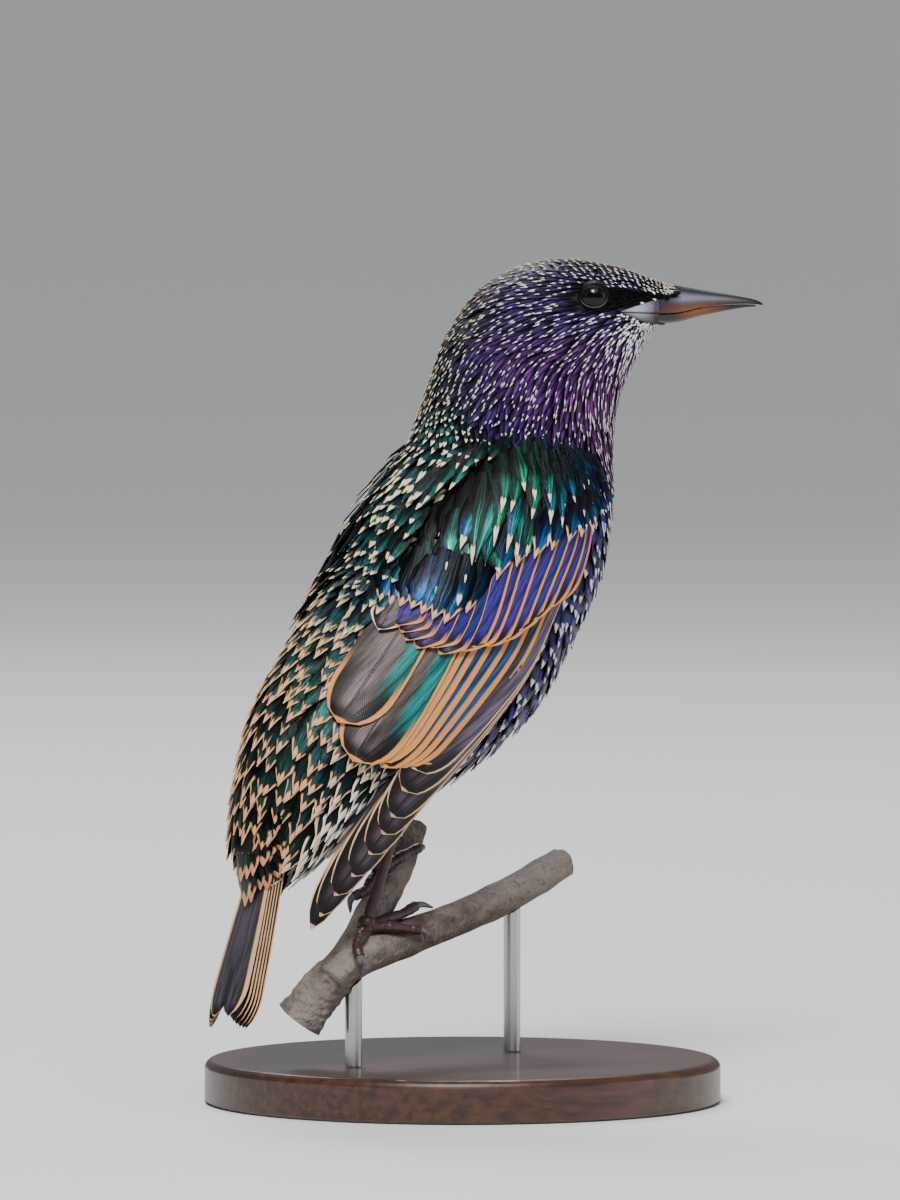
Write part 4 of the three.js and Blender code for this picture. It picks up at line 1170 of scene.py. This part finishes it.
def make_foot(name, plan):
    arm, stand = plan["arm"], plan["stand"]
    lifts = [TOE_RADIUS + k for k in STEP_LIFTS]
    skin, claws = [], []
    for steps in plan["toes"]:
        line = Curve([on_branch(arm, stand + d, a, k) for (d, a), k in zip(steps, lifts)])
        points, faces = loft(line.place(toe_radius), 70, 20, end=CLAW_SHARE + 0.02)
        f = np.linspace(0, 1, len(points))[:, None, None]
        scale = (np.cos(TOE_RIPPLE * f * CLAW_SHARE) > 0.75) * 0.35
        skin.append((points, faces, (linear("3a201e") * (1 - scale) * np.ones_like(points)).reshape(-1, 3)))
        points, faces = loft(line.place(claw_radius), 30, 16, start=CLAW_SHARE - 0.02)
        claws.append((points, faces, linear("5a555a")))
    centre = on_branch(arm, stand, plan["lean"], PAD_RADIUS - 0.2)
    pole = UP * (PAD_RADIUS - 0.01)
    points, faces = loft(Curve([centre - pole, centre, centre + pole]).place(pad_radius), 24, 24)
    skin.append((points, faces, linear("361d1b")))
    foot = join_parts("toes_" + name, skin, scale_stuff)
    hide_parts("foot_" + name)
    join_parts("claws_" + name, claws, claw_stuff)
    heel = np.array(plan["heel"]) + UP * LIFT
    shank = Curve([centre, (centre + heel) / 2, heel])
    points, faces = loft(shank.place(shank_radius), 120, 24)
    leg = join_parts("shank_" + name, [(points, faces, linear("3a201f"))], scale_stuff)
    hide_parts("leg_" + name)
    make_thigh(name, centre, heel)


def thigh_radius(f):
    return THIGH_TOP + (THIGH_END - THIGH_TOP) * np.clip(f, 0.01, 1) ** 0.8


def make_thigh(name, centre, heel):
    """Dark feathers in a cone round the upper end of the leg."""
    down = (centre - heel) / np.linalg.norm(centre - heel)
    place = Curve([heel - down * 6, heel + down * 5, heel + down * 15]).place(thigh_radius)
    rings, ring = 8, 14
    root = np.array([(0.04 + 0.105 * i, 360 * (j + 0.5 * (i % 2)) / ring)
                     for i in range(rings) for j in range(ring)])
    n = len(root)
    end = root + np.stack([np.full(n, 0.26), rng.normal(0, 6, n)], 1)
    end[:, 0] = np.minimum(end[:, 0], 1.0)
    width = np.interp(root[:, 0], [0, 1], [4.6, 2.0])
    points, u, v = vanes(place, root, end, width, np.tile([-0.6, 0.15], (n, 1)), rows=7, cols=5, point=0.4)
    coat = Coat("thigh_" + name, feather_stuff)
    col = linear("191a30") * rng.uniform(0.7, 1.2, (n, 1))
    mark = np.stack([np.full(n, 0.22), np.full(n, 0.8), rng.random(n)], 1)
    coat.add(points, u, v, col, linear("bdb8be"), mark, root / [1.2, 400])
    coat.finish()


def bark_material():
    g = Graph("bark", Roughness=0.85)
    coarse = g.noise(170, 5, roughness=0.65)
    fine = g.noise(900, 4)
    colour = g.mix(coarse.ramp(0.35, 0.68), g.attribute("col"), g.mix(0.5, g.attribute("col"), "8d857c"))
    colour = g.mix(fine.ramp(0.5, 0.75) * 0.6, colour, "241a15")
    g.bump(coarse * 1.8 + fine * 0.6, 0.0012, 0.9)
    return g.set(Base_Color=colour)


BARK = {"trunk": "776c63", "rear": "6d6058", "front": "4b3730"}
SUNK = 0.9  # how much thinner the front arm starts, so that its root stays inside the fork


def make_perch():
    rows, cols = 160, 72
    parts = []
    for arm, (_, radii) in ARMS.items():
        def radius(f, radii=radii, sunk=SUNK if arm == "front" else 0):
            swell = 0.15 * np.sin(5 * np.pi * f) ** 2
            return radii[0] + (radii[1] - radii[0]) * f + swell - sunk * np.clip(1 - f * 11, 0, 1)

        points, faces = loft(curves[arm].place(radius), rows, cols)
        points = points + UP * LIFT
        f, a = np.meshgrid(np.linspace(0, 1, rows), full_turn(cols), indexing="ij")
        rough = 0.2 * np.sin(4 * a + 9 * f) + 0.12 * np.sin(7 * a - 21 * f) * np.sin(31 * f + a)
        away = points[1:-1] - points[1:-1].mean(1, keepdims=True)
        away = away / np.linalg.norm(away, axis=-1, keepdims=True)
        points[1:-1] += away * (rough[..., None] - 0.15)
        colour = np.ones_like(points) * linear(BARK[arm])
        if arm == "front":
            grey = np.interp(np.linspace(0, 1, len(points)), [0.1, 0.25, 0.45, 0.8], [1, 0, 0, 1])
            colour = blend(colour, "7b7068", grey[:, None, None])
        colour[0 if arm == "trunk" else -1] = linear("b08d64")
        parts.append((points, faces, colour.reshape(-1, 3)))
    perch = join_parts("bark_perch", parts, bark_material())
    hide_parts("perch")


def wood_material():
    g = Graph("base_wood", Roughness=0.38, Coat_Weight=0.2)
    grain = g.noise(60, 5, (1, 9, 9))
    colour = g.mix(grain.ramp(0.3, 0.7), "2a170e", "4a2b1a")
    g.bump(grain, 0.0002, 0.3)
    return g.set(Base_Color=colour)


# Radius and height round the outside of the base
BASE_PROFILE = [(0.01, 0), (59.4, 0), (60, 0.6), (60, 8.2), (59.9, 8.6), (59.5, 9.2), (58.9, 9.7),
                (58.4, 9.9), (57.8, 10), (0.01, 10)]


def make_stand():
    cols = 160
    a = full_turn(cols)
    points = np.array([[(r * math.cos(k), r * math.sin(k), z) for k in a] for r, z in BASE_PROFILE])
    base = mesh_piece("turned_base", points, grid_faces(len(BASE_PROFILE), cols, wrap=True), wood_material(),
                      smooth_faces=False)
    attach(base, "root")
    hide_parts("stand_base")
    steel = Graph("rod_steel", Base_Color=(0.5, 0.5, 0.49, 1), Metallic=1.0, Roughness=0.3).material
    for node in ("stand_rod_front", "stand_rod_rear"):
        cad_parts[node].material_slots[0].material = steel


# Camera, floor and light

SCALE = 4.3  # picture points to a millimetre in the plane through the frame's origin
DISTANCE = 3000.0
PICTURE = (900, 1200)
ORIGIN_AT = (462.6, 1100.7)  # where the frame's origin falls in the picture, from its top left corner
AZIMUTH, ELEVATION = math.radians(-35), math.radians(3)
SENSOR = 36
# Name, place, size and power
LAMPS = (("key", (-0.9, -1.0, 1.5), 0.5, 40), ("fill", (1.2, -0.9, 0.5), 1.0, 4),
         ("rim", (0.5, 1.1, 1.5), 0.8, 22))
LAMP_AIM = Vector((0, 0, 0.12))


def make_camera():
    right = Vector((math.cos(AZIMUTH), math.sin(AZIMUTH), 0))
    ahead = Vector((-math.sin(AZIMUTH) * math.cos(ELEVATION), math.cos(AZIMUTH) * math.cos(ELEVATION),
                    -math.sin(ELEVATION)))
    up = right.cross(ahead)
    data = bpy.data.cameras.new("camera")
    data.sensor_width = SENSOR
    data.lens = SCALE * SENSOR * DISTANCE / PICTURE[1]
    data.clip_end = 100
    camera = bpy.data.objects.new("camera", data)
    camera.rotation_euler = Matrix((right, up, -ahead)).transposed().to_euler()
    aim = right * ((PICTURE[0] / 2 - ORIGIN_AT[0]) / SCALE) + up * ((ORIGIN_AT[1] - PICTURE[1] / 2) / SCALE)
    camera.location = (aim - ahead * DISTANCE) * MM
    bpy.context.scene.collection.objects.link(camera)
    bpy.context.scene.camera = camera


def make_floor():
    floor = Graph("floor", Base_Color=(0.74, 0.74, 0.73, 1), Roughness=0.9).material
    bpy.ops.mesh.primitive_plane_add(size=140, location=(0, 0, -0.0002))
    plane = bpy.context.object
    plane.name = "floor"
    plane.data.materials.append(floor)


def make_lights():
    for name, spot, size, power in LAMPS:
        lamp = bpy.data.lights.new(name, "AREA")
        lamp.size, lamp.energy = size, power
        light = bpy.data.objects.new(name, lamp)
        light.location = spot
        light.rotation_euler = (LAMP_AIM - Vector(spot)).to_track_quat("-Z", "Y").to_euler()
        bpy.context.scene.collection.objects.link(light)
    sun = bpy.data.lights.new("sky", "SUN")
    sun.energy, sun.angle = 1.2, math.radians(50)
    above = bpy.data.objects.new("sky", sun)
    above.rotation_euler = (math.radians(32), math.radians(-24), 0)
    bpy.context.scene.collection.objects.link(above)
    world = bpy.data.worlds.new("world")
    world.use_nodes = True
    background = world.node_tree.nodes["Background"]
    background.inputs["Color"].default_value = (0.86, 0.9, 0.96, 1)
    background.inputs["Strength"].default_value = 0.22
    bpy.context.scene.world = world


make_camera()
make_floor()
make_lights()
make_skin()
make_body_coat()
for key, sign in SIDES:
    make_eye(key, sign)
    make_wing(key, sign)
    make_foot(key, FEET[key])
make_tail()
make_gape()
make_bill("upper", UPPER_BILL, 1)
make_bill("lower", LOWER_BILL, -1)
make_perch()
make_stand()
